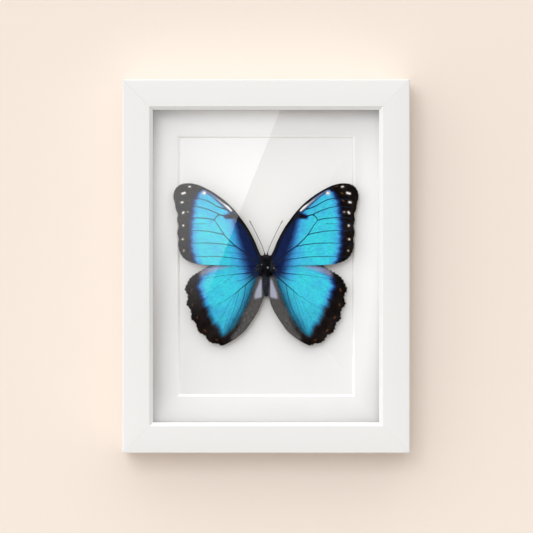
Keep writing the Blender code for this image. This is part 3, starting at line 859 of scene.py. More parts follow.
HINDWING_VEINS = [
    ([(3.6, -2.2), (5.5, -2.8), (11.0, -4.0), (17.8, -4.6)], 0.3, 0.9),
    ([(17.8, -4.6), (27.0, -5.6), (37.0, -7.6), (44.4, -10.6)], 0.12, 0.4),
    ([(3.4, -3.2), (4.7, -4.6), (9.5, -8.8), (13.6, -12.2), (17.5, -15.6)], 0.3, 0.95),
    ([(17.5, -15.6), (24.4, -20.0), (33.0, -24.8), (41.0, -29.0)], 0.1, 0.3),
    ([(10.6, -9.9), (11.4, -11.4), (12.2, -16.3), (14.6, -24.0), (19.2, -33.0), (23.0, -41.5)], 0.17, 0.6),
    ([(3.8, -1.8), (8.0, -1.9), (15.4, -1.6)], 0.2, 0.6),
    ([(3.8, -2.8), (8.0, -5.4), (13.0, -7.6), (16.4, -8.4)], 0.2, 0.55),
    ([(17.8, -4.6), (25.0, -10.2), (34.0, -15.4), (43.6, -18.6)], 0.09, 0.22),
    ([(15.2, -14.4), (16.4, -19.0), (19.4, -28.0), (23.0, -37.4)], 0.12, 0.4),
    ([(17.5, -15.6), (21.0, -21.6), (26.8, -32.0), (31.0, -41.0)], 0.1, 0.3),
    ([(17.5, -15.6), (27.0, -22.6), (36.2, -31.0), (38.6, -35.0)], 0.09, 0.22),
    ([(16.6, -15.4), (18.6, -20.6), (21.4, -28.6), (24.0, -36.4)], 0.09, 0.3),
    ([(6.4, -8.4), (9.0, -15.4), (13.4, -26.0), (18.8, -36.6)], 0.16, 0.5),
]
# Outer edge of the forewing's blue, by height
FOREWING_BLUE_EDGE = [
    (-2.0, 38.6), (1.2, 39.6), (4.0, 41.0), (9.7, 42.5), (15.6, 42.8), (23.5, 42.8), (28.9, 42.0),
    (35.2, 41.2), (39.0, 39.6), (41.5, 38.0), (43.4, 34.6), (46.0, 30.0),
]
# Where the forewing's dark root gives way to blue: height, place and steepness
FOREWING_DARK_ROOT = [
    (-1.0, 9.0, 0.36), (2.0, 9.6, 0.36), (5.0, 10.3, 0.36), (10.0, 11.9, 0.4), (15.0, 13.8, 0.58),
    (20.0, 15.0, 0.6), (25.0, 16.5, 0.68), (30.0, 19.2, 1.0),
]
# The black patch at the end of the forewing's cell
FOREWING_DARK_PATCH = [(14.6, 26.4), (16.4, 28.0), (18.8, 28.3), (22.2, 27.6)]
# Outline of the hindwing's blue
HINDWING_BLUE = [
    (4.4, -3.4), (5.8, 2.2), (12.0, 4.4), (20.0, 4.0), (27.0, 1.4), (32.4, -1.6), (36.4, -4.8),
    (38.4, -9.5), (37.7, -14.7), (36.0, -19.2), (34.0, -23.7), (31.8, -28.9), (29.4, -32.5), (26.8, -36.1),
    (24.3, -39.6), (19.4, -36.2), (15.5, -31.8), (12.4, -26.7), (9.8, -21.5), (7.5, -14.7), (5.8, -9.6),
]
# Marks: start, end and the half-widths there. First the white ones, then the orange ones
FOREWING_SPOTS = [
    ((42.4, 44.4), (43.2, 44.5), 0.34, 0.3),
    ((45.4, 41.0), (46.9, 40.6), 0.5, 0.5),
    ((46.6, 35.8), (47.4, 35.6), 0.42, 0.4),
    ((46.1, 30.2), (46.6, 29.6), 0.46, 0.4),
    ((43.5, 30.3), (44.0, 30.3), 0.12, 0.12),
    ((46.3, 22.8), (46.3, 22.6), 0.42, 0.42),
    ((46.6, 15.1), (46.6, 15.0), 0.38, 0.38),
    ((46.0, 8.6), (46.0, 8.7), 0.24, 0.22),
    ((34.3, 41.0), (34.9, 40.7), 0.62, 0.55),
    ((19.4, 31.0), (21.2, 32.8), 0.42, 0.56),
    ((21.2, 32.8), (23.8, 34.9), 0.56, 0.2),
    ((23.8, 34.9), (27.0, 37.5), 0.16, 0.08),
]
FOREWING_OCHRE = [
    ((42.2, 41.0), (43.0, 40.6), 0.3, 0.3),
    ((42.6, 37.0), (43.6, 36.4), 0.3, 0.2),
    ((38.6, 44.4), (40.0, 44.8), 0.1, 0.1),
    ((45.8, 8.9), (46.4, 8.5), 0.35, 0.35),
    ((45.9, 15.2), (46.7, 14.9), 0.55, 0.5),
]
HINDWING_OCHRE = [
    ((41.5, -12.9), (41.8, -13.9), 0.32, 0.3),
    ((41.1, -21.3), (41.3, -22.0), 0.34, 0.3),
    ((38.6, -28.4), (38.2, -29.4), 0.3, 0.26),
    ((34.6, -35.7), (33.7, -36.6), 0.3, 0.24),
    ((28.2, -41.1), (27.0, -41.6), 0.24, 0.22),
]
# Eyespots of the underside: x, z and radius
FOREWING_EYES = [(40.5, 36.0, 1.6), (40.0, 22.5, 1.9), (36.0, 13.0, 2.3)]
HINDWING_EYES = [(32.5, -10.0, 2.8), (27.0, -21.0, 2.2), (22.0, -28.5, 2.0), (17.0, -30.0, 1.5)]
FULL_BLUE = 5.2  # depth at which the blue is brightest
FAR = 9.0  # gap that stands for no mark near


def along_line(points, line):
    """For each point: its least distance to a line of points, and the share of the line passed there."""
    line = np.asarray(line, float)
    steps = np.linalg.norm(np.diff(line, axis=0), axis=1)
    total = max(steps.sum(), 1e-9)
    passed = 0.0
    best = np.full(len(points), np.inf)
    share = np.zeros(len(points))
    for start, end, step in zip(line[:-1], line[1:], steps):
        direction = end - start
        t = np.clip(((points - start) @ direction) / max(step * step, 1e-12), 0.0, 1.0)
        gap = np.linalg.norm(points - (start + t[:, None] * direction), axis=1)
        nearer = gap < best
        best = np.where(nearer, gap, best)
        share = np.where(nearer, (passed + t * step) / total, share)
        passed += step
    return best, share


def signed_depth(points, loop):
    """Depth of each point inside a closed loop, negative outside."""
    closed = list(loop) + [loop[0]]
    gap, _share = along_line(points, closed)
    inside = np.zeros(len(points), bool)
    x, z = points[:, 0], points[:, 1]
    for (x0, z0), (x1, z1) in zip(closed[:-1], closed[1:]):
        if z0 == z1:
            continue
        crosses = (z0 > z) != (z1 > z)
        inside ^= crosses & (x < (x1 - x0) * (z - z0) / (z1 - z0) + x0)
    return np.where(inside, gap, -gap)


def mark_gap(points, marks):
    """Gap from each point to the nearest of some round-ended marks, negative inside them."""
    best = np.full(len(points), FAR)
    for start, end, first, last in marks:
        gap, share = along_line(points, [start, end])
        best = np.minimum(best, gap - (first + (last - first) * share))
    return best


def vein_fields(points, veins):
    """Gap to the nearest vein's edge, and how dark that vein is."""
    best = np.full(len(points), FAR)
    ink = np.zeros(len(points))
    for line, half_width, darkness in veins:
        gap, share = along_line(points, smooth_line(line, 0.6))
        gap = gap - half_width * (0.95 - 0.65 * share)
        nearer = gap < best
        best = np.where(nearer, gap, best)
        ink = np.where(nearer, darkness, ink)
    return best, ink


def smooth_line(points, spacing, closed=False):
    """A smooth line through points, as one point for each spacing."""
    line = np.asarray(points, float)
    count = len(line)
    out = []
    spans = count if closed else count - 1
    for index in range(spans):
        if closed:
            p0, p1, p2, p3 = (line[(index + k) % count] for k in (-1, 0, 1, 2))
        else:
            p0, p1, p2, p3 = (line[min(max(index + k, 0), count - 1)] for k in (-1, 0, 1, 2))
        steps = max(1, int(round(np.linalg.norm(p2 - p1) / spacing)))
        for step in range(steps):
            t = step / steps
            out.append(
                0.5
                * (
                    2 * p1
                    + (p2 - p0) * t
                    + (2 * p0 - 5 * p1 + 4 * p2 - p3) * t * t
                    + (3 * p1 - p0 - 3 * p2 + p3) * t**3
                )
            )
    if not closed:
        out.append(line[-1])
    return np.array(out)


def soft_step(value, start, end):
    """A smooth step from 0 to 1 as the value goes from start to end."""
    t = np.clip((value - start) / (end - start), 0.0, 1.0)
    return t * t * (3 - 2 * t)


def forewing_fields(points, margin):
    """The pattern fields of the forewing at points in mm."""
    x, z = points[:, 0], points[:, 1]
    # depth inside the outer border, whose edge is scalloped between the veins
    outer = np.interp(z, *zip(*FOREWING_BLUE_EDGE)) - x
    outer = outer * 0.95 + 0.3 * np.cos(z * 1.55 + 0.6 * np.sin(z * 0.7))
    # depth beyond the dark root
    heights, places, slopes = zip(*FOREWING_DARK_ROOT)
    root = (x - np.interp(z, heights, places)) * np.interp(z, heights, slopes)
    root = np.maximum(root + 0.15, -0.1 - 0.25 * (x < 6.0) * (6.0 - x))
    # depth inside the dark band of the costa, which narrows towards the tip
    costa = [p for p in margin if p[1] > 3.5 and p[0] < 46.0 and (p[1] > 0.9 * p[0] + 2.0 or p[1] > 43.0)]
    costa.sort(key=lambda p: p[0] + p[1])
    edge_gap, _share = along_line(points, costa)
    band_width = 2.4 - 0.7 * soft_step(z, 26.0, 31.0) - 0.6 * soft_step(z, 36.0, 39.0)
    band = (edge_gap - band_width) * 1.6
    trailing = (z - 0.4) * 1.2 + 6.0 * (1 - soft_step(x, 34.0, 41.0))
    ceiling = FULL_BLUE - 1.4 * soft_step(z - 0.2 * x, 14.0, 26.0)
    depth = np.minimum.reduce([outer, root, band, trailing, ceiling])
    # the strip between the costa and the front vein stays dull blue
    over = signed_depth(points, FOREWING_FRONT_VEIN + [(30.0, 50.0), (0.0, 40.0)]) > 0
    strip = over & (x > 17.0)
    depth = np.where(strip, np.minimum(depth, 0.9 + 1.6 * soft_step(x, 24, 31)), depth)
    patch, share = along_line(points, FOREWING_DARK_PATCH)
    depth = np.minimum(depth, (patch - 2.1 + 1.5 * share) * 2.2)
    # lilac along the strip and around the outer white spot
    lilac = np.where(strip & (band > 0), 0.3 * soft_step(x, 21, 24) * (1 - soft_step(x, 34, 38)), 0.0)
    lilac = lilac * soft_step(patch, 1.6, 2.6)
    halo = np.hypot(x - 34.6, z - 40.9)
    lilac = np.maximum(lilac, 0.75 * (1 - soft_step(halo, 0.6, 2.2)))
    return {
        "blue_depth": depth,
        "spot_gap": mark_gap(points, FOREWING_SPOTS),
        "ochre_gap": mark_gap(points, FOREWING_OCHRE),
        "lilac": lilac,
        "fold": np.zeros(len(points)),
        "teal": np.zeros(len(points)),
        "eye_gap": eye_gap(points, FOREWING_EYES),
    }


def hindwing_fields(points, _margin):
    """The pattern fields of the hindwing at points in mm."""
    x, z = points[:, 0], points[:, 1]
    low = soft_step(-z, 15.0, 27.0)
    turn = np.arctan2(z - HINDWING_ROOT[1], x - HINDWING_ROOT[0])
    reach = np.hypot(x - HINDWING_ROOT[0], z - HINDWING_ROOT[1])
    # the blue's outer edge has teeth, its inner edge is softer and its root is dark
    depth = signed_depth(points, smooth_line(HINDWING_BLUE, 1.0, closed=True))
    teeth = 0.35 * np.cos(turn * 44.0) + 0.2 * np.cos(turn * 97.0 + 1.0) + 0.3 * np.cos(turn * 23.0)
    depth = depth + teeth * soft_step(reach, 18, 34) * soft_step(turn, -1.25, -0.8)
    inner, _share = along_line(points, [(4.4, -3.4), (5.8, -9.6), (7.5, -14.7), (12.4, -26.7), (19.4, -36.2)])
    slow = np.where(inner < 5.0, 0.6 * inner, 3.0 + 0.3 * (inner - 5.0)) + 0.1
    depth = np.where(depth > 0, np.minimum(depth, slow), depth)
    depth = np.minimum(depth, np.maximum((reach - 5.2) * 0.42, 0.05))
    depth = np.minimum(depth, FULL_BLUE - 1.7 * low)
    teal = np.maximum((1 - soft_step(inner, 4.0, 11.0)) * soft_step(-z, 3.0, 9.0), 0.8 * low)
    # the pale fold along the inner margin, with a lilac wedge beside the abdomen
    inner_margin = [(2.7, -5.6), (2.5, -12.0), (2.1, -18.6), (3.4, -23.0), (9.4, -33.0), (16.8, -40.4)]
    hem, _share = along_line(points, inner_margin)
    wedge_width = 1.0 + 3.6 * soft_step(-z, 6.0, 18.0)
    wedge = (1 - soft_step(hem, wedge_width - 1.3, wedge_width + 1.0)) * soft_step(-z, 5.5, 8.5)
    wedge = wedge * (1 - soft_step(-z - 0.25 * x, 15.8, 18.4)) * soft_step(x, 1.8, 2.8)
    fold_width = 2.2 + 3.8 * soft_step(-z, 5.0, 20.0) - 3.4 * soft_step(-z, 25, 38)
    fold = (1 - soft_step(hem, fold_width - 2.0, fold_width + 2.2)) * soft_step(-z, 4.5, 7.5)
    # a lilac strip along the leading edge
    leading = [(12.0, 2.4), (20.0, 0.9), (27.0, -0.6), (33.0, -2.6), (37.6, -4.9)]
    strip_gap, _share = along_line(points, leading)
    strip = (1 - soft_step(strip_gap, 0.5, 2.3)) * soft_step(x, 14, 27) * (1 - soft_step(x, 35.0, 38.5))
    return {
        "blue_depth": depth,
        "spot_gap": np.full(len(points), FAR),
        "ochre_gap": mark_gap(points, HINDWING_OCHRE),
        "lilac": np.clip(wedge * 0.95 + 0.55 * strip, 0, 1),
        "fold": np.clip(fold * (1 - wedge), 0, 1),
        "teal": teal,
        "eye_gap": eye_gap(points, HINDWING_EYES),
    }


def eye_gap(points, eyes):
    """Distance to the nearest eyespot's centre, in units in which 3 is its rim."""
    best = np.full(len(points), FAR)
    for x, z, radius in eyes:
        best = np.minimum(best, np.hypot(points[:, 0] - x, points[:, 1] - z) * 3.0 / radius)
    return best


def margin_of(node):
    """The outline of a flat CAD node's front face as an ordered loop, in mm for the right side."""
    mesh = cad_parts[node].data
    low, _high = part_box(node)
    keys = {}
    corners = []
    for vertex in mesh.vertices:
        key = tuple(round(c / WELD) for c in vertex.co)
        corners.append(keys.setdefault(key, (vertex.index, key)))
    seen = {}
    for face in mesh.polygons:
        if all(mesh.vertices[i].co.y < low.y + 0.02 * MM for i in face.vertices):
            ring = [corners[i][0] for i in face.vertices]
            for a, b in zip(ring, ring[1:] + ring[:1]):
                pair = (min(a, b), max(a, b))
                seen[pair] = seen.get(pair, 0) + 1
    links = {}
    for (a, b), uses in seen.items():
        if uses == 1:
            links.setdefault(a, []).append(b)
            links.setdefault(b, []).append(a)
    start = min(links)
    loop = [start]
    previous, current = None, start
    while True:
        following = next(n for n in links[current] if n != previous)
        if following == start:
            break
        loop.append(following)
        previous, current = current, following
    side = -1 if mesh.vertices[start].co.x < 0 else 1
    places = [mesh.vertices[i].co for i in loop]
    return [(side * p.x / MM, (p.z - CENTRE_Z) / MM) for p in places]


def outward_of(loop):
    """The outward direction at each point of a closed loop."""
    ahead = np.roll(loop, -1, axis=0) - np.roll(loop, 1, axis=0)
    outward = np.column_stack([ahead[:, 1], -ahead[:, 0]])
    outward /= np.linalg.norm(outward, axis=1)[:, None]
    if signed_depth(loop + outward * 0.2, loop).mean() > 0:
        outward = -outward
    return outward


def serrated(loop, root, depth):
    """A wing's outline with small uneven teeth along its outer side, cut up to depth mm into it."""
    passed = np.cumsum(np.linalg.norm(loop - np.roll(loop, 1, axis=0), axis=1))
    wave = 0.45 * np.cos(passed * 2.7) + 0.33 * np.cos(passed * 4.9 + 1.0)
    wave = wave + 0.22 * np.cos(passed * 7.9 + 2.0)
    outward = outward_of(loop)
    reach = np.hypot(loop[:, 0] - root[0], loop[:, 1] - root[1])
    share = soft_step(outward[:, 0], -0.2, 0.4) * soft_step(reach, 22, 32)
    return loop + outward * (depth * share * (wave - 0.5) / 1.5)[:, None]


def wing_camber(points, root, bulge):
    """How far the membrane bows towards the viewer, in mm."""
    reach = np.hypot(points[:, 0] - root[0], points[:, 1] - root[1])
    return bulge * np.sin(np.clip(reach / 50.0, 0, 1) * math.pi)


def wing_outline(margin, root, tooth):
    """A wing's toothed margin in mm, drawn in under the abdomen's fur."""
    loop = serrated(smooth_line(margin, 0.4, closed=True), root, tooth)
    x, z = loop[:, 0], loop[:, 1]
    beside_body = (1 - soft_step(x, 2.6, 3.6)) * soft_step(z, -18.5, -17.0) * (z < 6.0)
    return np.column_stack([x - 0.9 * beside_body, z])


def inner_points(loop, fields, pitch):
    """A grid of triangles inside a margin in mm, finer near the small marks."""
    low, high = loop.min(axis=0), loop.max(axis=0)
    grid = []
    row = 0
    z = low[1] + pitch / 2
    while z < high[1]:
        shift = pitch / 2 if row % 2 else 0.0
        grid += [(x, z) for x in np.arange(low[0] + shift, high[0], pitch)]
        z += pitch * math.sqrt(3) / 2
        row += 1
    grid = np.array(grid)
    between = grid + np.array([0.5 * pitch, 0.29 * pitch])
    marks = fields(between, loop)
    between = between[np.minimum(marks["spot_gap"], marks["ochre_gap"]) < 0.6]
    grid = np.vstack([grid, between, between - np.array([0.0, 0.58 * pitch])])
    return grid[signed_depth(grid, loop) > 0.45 * pitch]


def sheet_faces(points, triangles, side):
    """The faces of a thin sheet: its front, its back, whose points come after the front's, and its rim."""
    total = len(points)
    front = []
    uses = set()
    for a, b, c in triangles:
        area = (points[b][0] - points[a][0]) * (points[c][1] - points[a][1])
        area -= (points[c][0] - points[a][0]) * (points[b][1] - points[a][1])
        if (area < 0) != (side < 0):
            b, c = c, b
        front.append((a, b, c))
        uses.update(((a, b), (b, c), (c, a)))
    back = [(c + total, b + total, a + total) for a, b, c in front]
    rim = [(b, a, a + total, b + total) for a, b in sorted(uses) if (b, a) not in uses]
    return front, back, rim


def wing_mesh(name, margin, side, front_y, wing, settings, materials):
    """A thin two-sided wing with its pattern fields, from its outline in mm."""
    veins, fields, root, bulge, tooth = wing
    loop = wing_outline(margin, root, tooth)
    flat = np.vstack([loop, inner_points(loop, fields, settings.grid / MM)])
    count = len(loop)
    edges = [(i, (i + 1) % count) for i in range(count)]
    result = geometry.delaunay_2d_cdt([Vector(p) for p in flat], edges, [], 1, 1e-6)
    points = np.array([tuple(p) for p in result[0]])
    front, back, rim = sheet_faces(points, [tuple(t) for t in result[2]], side)
    gap, ink = vein_fields(points, veins)
    relief = settings.vein_relief / MM * np.exp(-((np.maximum(gap, 0.0) / 0.35) ** 2))
    ripple = 0.06 * np.sin(points[:, 0] * 0.9) * np.cos(points[:, 1] * 0.7)
    y = front_y / MM - wing_camber(points, root, bulge) - relief + ripple
    places = [to_world(points, y, side), to_world(points, y + settings.thickness / MM, side)]
    mesh = make_mesh(name, np.vstack(places), front + back + rim, materials)
    finish_of_face = np.repeat([0, 1, 0], [len(front), len(back), len(rim)]).astype(np.int32)
    mesh.polygons.foreach_set("material_index", finish_of_face)
    values = fields(points, loop)
    values.update({"vein_gap": gap, "vein_ink": ink})
    for label, field in values.items():
        store_field(mesh, label, np.concatenate([field, field]))
    reach = np.hypot(points[:, 0] - root[0], points[:, 1] - root[1])
    turn = np.arctan2(points[:, 1] - root[1], points[:, 0] - root[0])
    rows = np.column_stack([turn, reach, np.full(len(points), 3.0 * side)])
    store_field(mesh, "rows", np.vstack([rows, rows]))
    return mesh, loop, (points, y)


def store_field(mesh, name, values):
    """Keep one number or vector for each point of a mesh."""
    vector = values.ndim == 2
    field = mesh.attributes.new(name, "FLOAT_VECTOR" if vector else "FLOAT", "POINT")
    field.data.foreach_set("vector" if vector else "value", np.ascontiguousarray(values, np.float32).ravel())


def line_mesh(name, lines, fields, closed=False):
    """Loose lines of points in metres, with a number or vector field on their points."""
    points = []
    edges = []
    for line in lines:
        first = len(points)
        points += [tuple(p) for p in line]
        edges += [(first + i, first + i + 1) for i in range(len(line) - 1)]
        if closed:
            edges.append((len(points) - 1, first))
    mesh = bpy.data.meshes.new(name)
    mesh.from_pydata(points, edges, [])
    for label, values in fields.items():
        store_field(mesh, label, np.asarray(values, float))
    return mesh


# ---------------------------------------------------------------- operators


class PieceOperator:
    """What the operators share."""

    bl_options = {"REGISTER", "UNDO"}

    def execute(self, context):
        self.make(context.scene)
        return {"FINISHED"}


class SPECIMEN_OT_moulding(PieceOperator, bpy.types.Operator):
    """Make the four mitred rails of the moulding"""

    bl_idname = "specimen.moulding"
    bl_label = "Moulding"

    def make(self, scene):
        settings = scene.specimen_frame
        half_width = CAD_HIGH.x
        half_height = (CAD_HIGH.z - CAD_LOW.z) / 2
        lengths = ((half_width, half_height), (half_height, half_width))
        finishes = [satin_paint("satin_paint_across", settings.paint, 0)]
        finishes.append(satin_paint("satin_paint_upright", settings.paint, 2))
        profile = moulding_profile(settings)
        for turns, name in enumerate(RAILS):
            half_length, half_across = lengths[turns % 2]
            mesh = rail_mesh(name, profile, half_length, half_across, turns, settings.mitre_gap)
            mesh.materials.append(finishes[turns % 2])
            place_piece(name.replace("frame_", "moulding_"), mesh, [name])


def rounded(corner, before, after, radius, steps=6):
    """Points of the arc that rounds the corner between two neighbours."""
    corner, before, after = Vector(corner), Vector(before), Vector(after)
    to_before = (before - corner).normalized()
    to_after = (after - corner).normalized()
    half_angle = to_before.angle(to_after) / 2
    setback = radius / math.tan(half_angle)
    centre = corner + (to_before + to_after).normalized() * (radius / math.sin(half_angle))
    first = corner + to_before * setback - centre
    last = corner + to_after * setback - centre
    points = []
    for step in range(steps + 1):
        arm = first.lerp(last, step / steps)
        points.append(centre + arm.normalized() * radius)
    return points


def moulding_profile(settings):
    """The section of a rail: inset from the outer edge and y, with its visible edges rounded."""
    rail_low, rail_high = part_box("frame_rail_bottom")
    front = rail_low.y
    tip = rail_high.z - rail_low.z
    bevel = 2.0 * MM
    clearance = 0.05 * MM
    rebate = CAD_HIGH.x - GLASS_HIGH.x - clearance
    shoulder = GLASS_LOW.y - clearance
    back_radius = 0.4 * MM
    # each corner and its radius, from the outer back corner round the front to the rebate
    corners = [
        ((0.0, 0.0), back_radius),
        ((0.0, front), settings.outer_radius),
        ((tip - bevel, front), settings.inner_radius),
        ((tip, front + bevel), 0.25 * MM),
        ((tip, shoulder), 0.1 * MM),
        ((rebate, shoulder), 0.0),
        ((rebate, 0.0), back_radius),
    ]
    profile = []
    count = len(corners)
    for index, (corner, radius) in enumerate(corners):
        before = corners[index - 1][0]
        after = corners[(index + 1) % count][0]
        if radius:
            profile += rounded(corner, before, after, radius)
        else:
            profile.append(Vector(corner))
    return profile


def rail_mesh(name, profile, half_length, half_across, quarter_turns, gap):
    """A rail lofted between two mitred ends as the bottom rail, then turned into place about Y."""
    slack = gap / math.sqrt(2)
    points = []
    for side in (-1, 1):
        for inset, y in profile:
            points.append((side * (half_length - inset - slack), y, inset - half_across))
    count = len(profile)
    faces = []
    for index in range(count):
        following = (index + 1) % count
        faces.append((index, following, following + count, index + count))
    faces.append(tuple(range(count)))
    faces.append(tuple(reversed(range(count, 2 * count))))
    mesh = make_mesh(name + "_painted", points, faces)
    faces_outward(mesh)
    mesh.transform(Matrix.Rotation(quarter_turns * math.pi / 2, 4, "Y"))
    mesh.transform(Matrix.Translation((0.0, 0.0, CENTRE_Z)))
    mesh.set_sharp_from_angle(angle=math.radians(25.0))
    return mesh


class SPECIMEN_OT_cards(PieceOperator, bpy.types.Operator):
    """Make the window mat, the backing board, the spacers and the back panel"""

    bl_idname = "specimen.cards"
    bl_label = "Mat, boards and spacers"

    def make(self, scene):
        settings = scene.specimen_frame
        card = card_finish("mat_card_face", settings.card)
        core = card_finish("mat_card_core", settings.core, 0.04 * MM)
        board = card_finish("backing_paper", settings.board)
        mat = softened("mat", welded_copy("window_mat"), settings.card_edge, card, segments=1)
        mat.materials.append(core)
        # slanted faces farther than this from the mat's edge belong to the window's bevel
        border = 13.0 * MM
        half_width = GLASS_HIGH.x - border
        half_height = GLASS_HIGH.z - CENTRE_Z - border
        for face in mat.polygons:
            slanted = 0.3 < abs(face.normal.y) < 0.95
            inside = abs(face.center.x) < half_width and abs(face.center.z - CENTRE_Z) < half_height
            face.material_index = 1 if slanted and inside else 0
        place_piece("mat_board", mat, ["window_mat"])
        backing = welded_copy("backing_board")
        raise_face(backing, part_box("backing_board")[0].y, MAT_BACK_Y + 0.02 * MM)
        backing = softened("board", backing, settings.card_edge, board)
        place_piece("specimen_board", backing, ["backing_board"])
        spacer = card_finish("spacer_paper", settings.board)
        for node in ("spacer_top", "spacer_bottom", "spacer_left", "spacer_right"):
            strip = softened(node, welded_copy(node), settings.card_edge, spacer)
            place_piece(node + "_strip", strip, [node])
        panel = softened("panel", welded_copy("back_panel"), 0.25 * MM, hardboard_finish())
        place_piece("hardboard_back", panel, ["back_panel"])


def raise_face(mesh, from_y, to_y):
    """Move the points of one face of a sheet along Y."""
    for vertex in mesh.vertices:
        if abs(vertex.co.y - from_y) < 0.01 * MM:
            vertex.co.y = to_y


class SPECIMEN_OT_glass(PieceOperator, bpy.types.Operator):
    """Give the glass pane its finish"""

    bl_idname = "specimen.glass"
    bl_label = "Glass"

    def make(self, scene):
        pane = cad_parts["glass_pane"]
        pane.data.materials.clear()
        pane.data.materials.append(picture_glass())


class SPECIMEN_OT_wings(PieceOperator, bpy.types.Operator):
    """Make the four wings with their pattern, veins and fringes"""

    bl_idname = "specimen.wings"
    bl_label = "Wings"

    def make(self, scene):
        settings = scene.specimen_wings
        under = underside_finish(settings)
        fore = wing_finish("forewing_scales", settings, 1.3)
        hind = wing_finish("hindwing_scales", settings, 1.6)
        vein_dark = fur_finish("vein_membrane", (0.007, 0.007, 0.009))
        fringe_dark = fur_finish("fringe_scales", (0.03, 0.022, 0.018), 2.0)
        tube_values = {"Thickness": 1.0, "Sides": 6, "Material": vein_dark}
        fringe_values = {
            "Spacing": settings.fringe_spacing,
            "Length": settings.fringe_length,
            "Material": fringe_dark,
        }
        tubes = tube_tree()
        fringes = fringe_tree()
        # veins, pattern, root, camber and depth of the margin's teeth in mm, and finish
        kinds = {
            "forewing": (FOREWING_VEINS, forewing_fields, FOREWING_ROOT, 0.9, 0.3, fore),
            "hindwing": (HINDWING_VEINS, hindwing_fields, HINDWING_ROOT, 0.5, 0.8, hind),
        }
        for kind, (*wing, finish) in kinds.items():
            for label, side in SIDES:
                node = f"{kind}_{label}"
                front_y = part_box(node)[0].y + 0.15 * MM
                mesh, loop, surface = wing_mesh(
                    node, margin_of(node), side, front_y, wing, settings, [finish, under]
                )
                place_piece(node + "_membrane", mesh, [node])
                lines = vein_lines(wing[0], side, surface)
                place_piece(node + "_veins", run_tree(node + "_ribs", lines, tubes, tube_values))
                hem = fringe_line(loop, side, surface)
                fringe_values["Seed"] = settings.fringe_seed + side
                place_piece(node + "_fringe", run_tree(node + "_hem", hem, fringes, fringe_values))


def surface_heights(places, surface):
    """The wing's front y, in mm, at places in mm, from its nearest mesh points."""
    points, y = surface
    heights = []
    for place in places:
        gap = ((points - place) ** 2).sum(axis=1)
        near = np.argpartition(gap, 3)[:3]
        weight = 1.0 / (gap[near] + 1e-4)
        heights.append(float((y[near] * weight).sum() / weight.sum()))
    return np.array(heights)


def to_world(places, heights, side):
    """Places and y heights in mm for the right side, as points in metres on either side."""
    return np.column_stack([side * places[:, 0] * MM, heights * MM, places[:, 1] * MM + CENTRE_Z])


def vein_lines(veins, side, surface):
    """The veins as lines on the wing's face, with the girth of each point."""
    lines = []
    girths = []
    for points, half_width, _darkness in veins:
        places = smooth_line(points, 0.5)
        share = np.linspace(0, 1, len(places))
        lines.append(to_world(places, surface_heights(places, surface) + 0.03, side))
        girths.append(half_width * (0.44 - 0.34 * share) * MM)
    return line_mesh("vein_lines", lines, {"girth": np.concatenate(girths)})


def fringe_line(loop, side, surface):
    """The wing's margin as a closed line with its outward direction, and the share of a full scale there."""
    heights = surface_heights(loop, surface) + 0.06
    outward = outward_of(loop)
    directions = np.column_stack([side * outward[:, 0], np.zeros(len(loop)), outward[:, 1]])
    share = 0.35 + 0.65 * soft_step(outward[:, 0], -0.1, 0.5)
    share = np.where(loop[:, 0] < 4.0, 0.3, share)
    world = to_world(loop, heights, side)
    return line_mesh("margin", [world], {"outward": directions, "hair_share": share}, closed=True)


# Body outline in mm from the head to the tail: height from the frame's centre and radius
BODY_PROFILE = [
    (6.3, 0.0), (6.2, 1.0), (5.9, 1.55), (5.3, 1.85), (4.6, 1.85), (3.8, 1.5), (3.1, 1.35), (2.3, 1.9),
    (0.8, 2.45), (-1.2, 2.6), (-3.0, 2.4), (-4.6, 1.95), (-5.6, 1.8), (-7.4, 2.05), (-10.0, 2.05),
    (-13.0, 1.85), (-15.4, 1.5), (-16.6, 1.0), (-17.1, 0.0),
]
SEGMENT_LENGTH = 1.55  # of the abdomen, in mm
BODY_SIDES = 48
BODY_RINGS = 150
BODY_DEPTH = 0.9  # depth of the body over its width


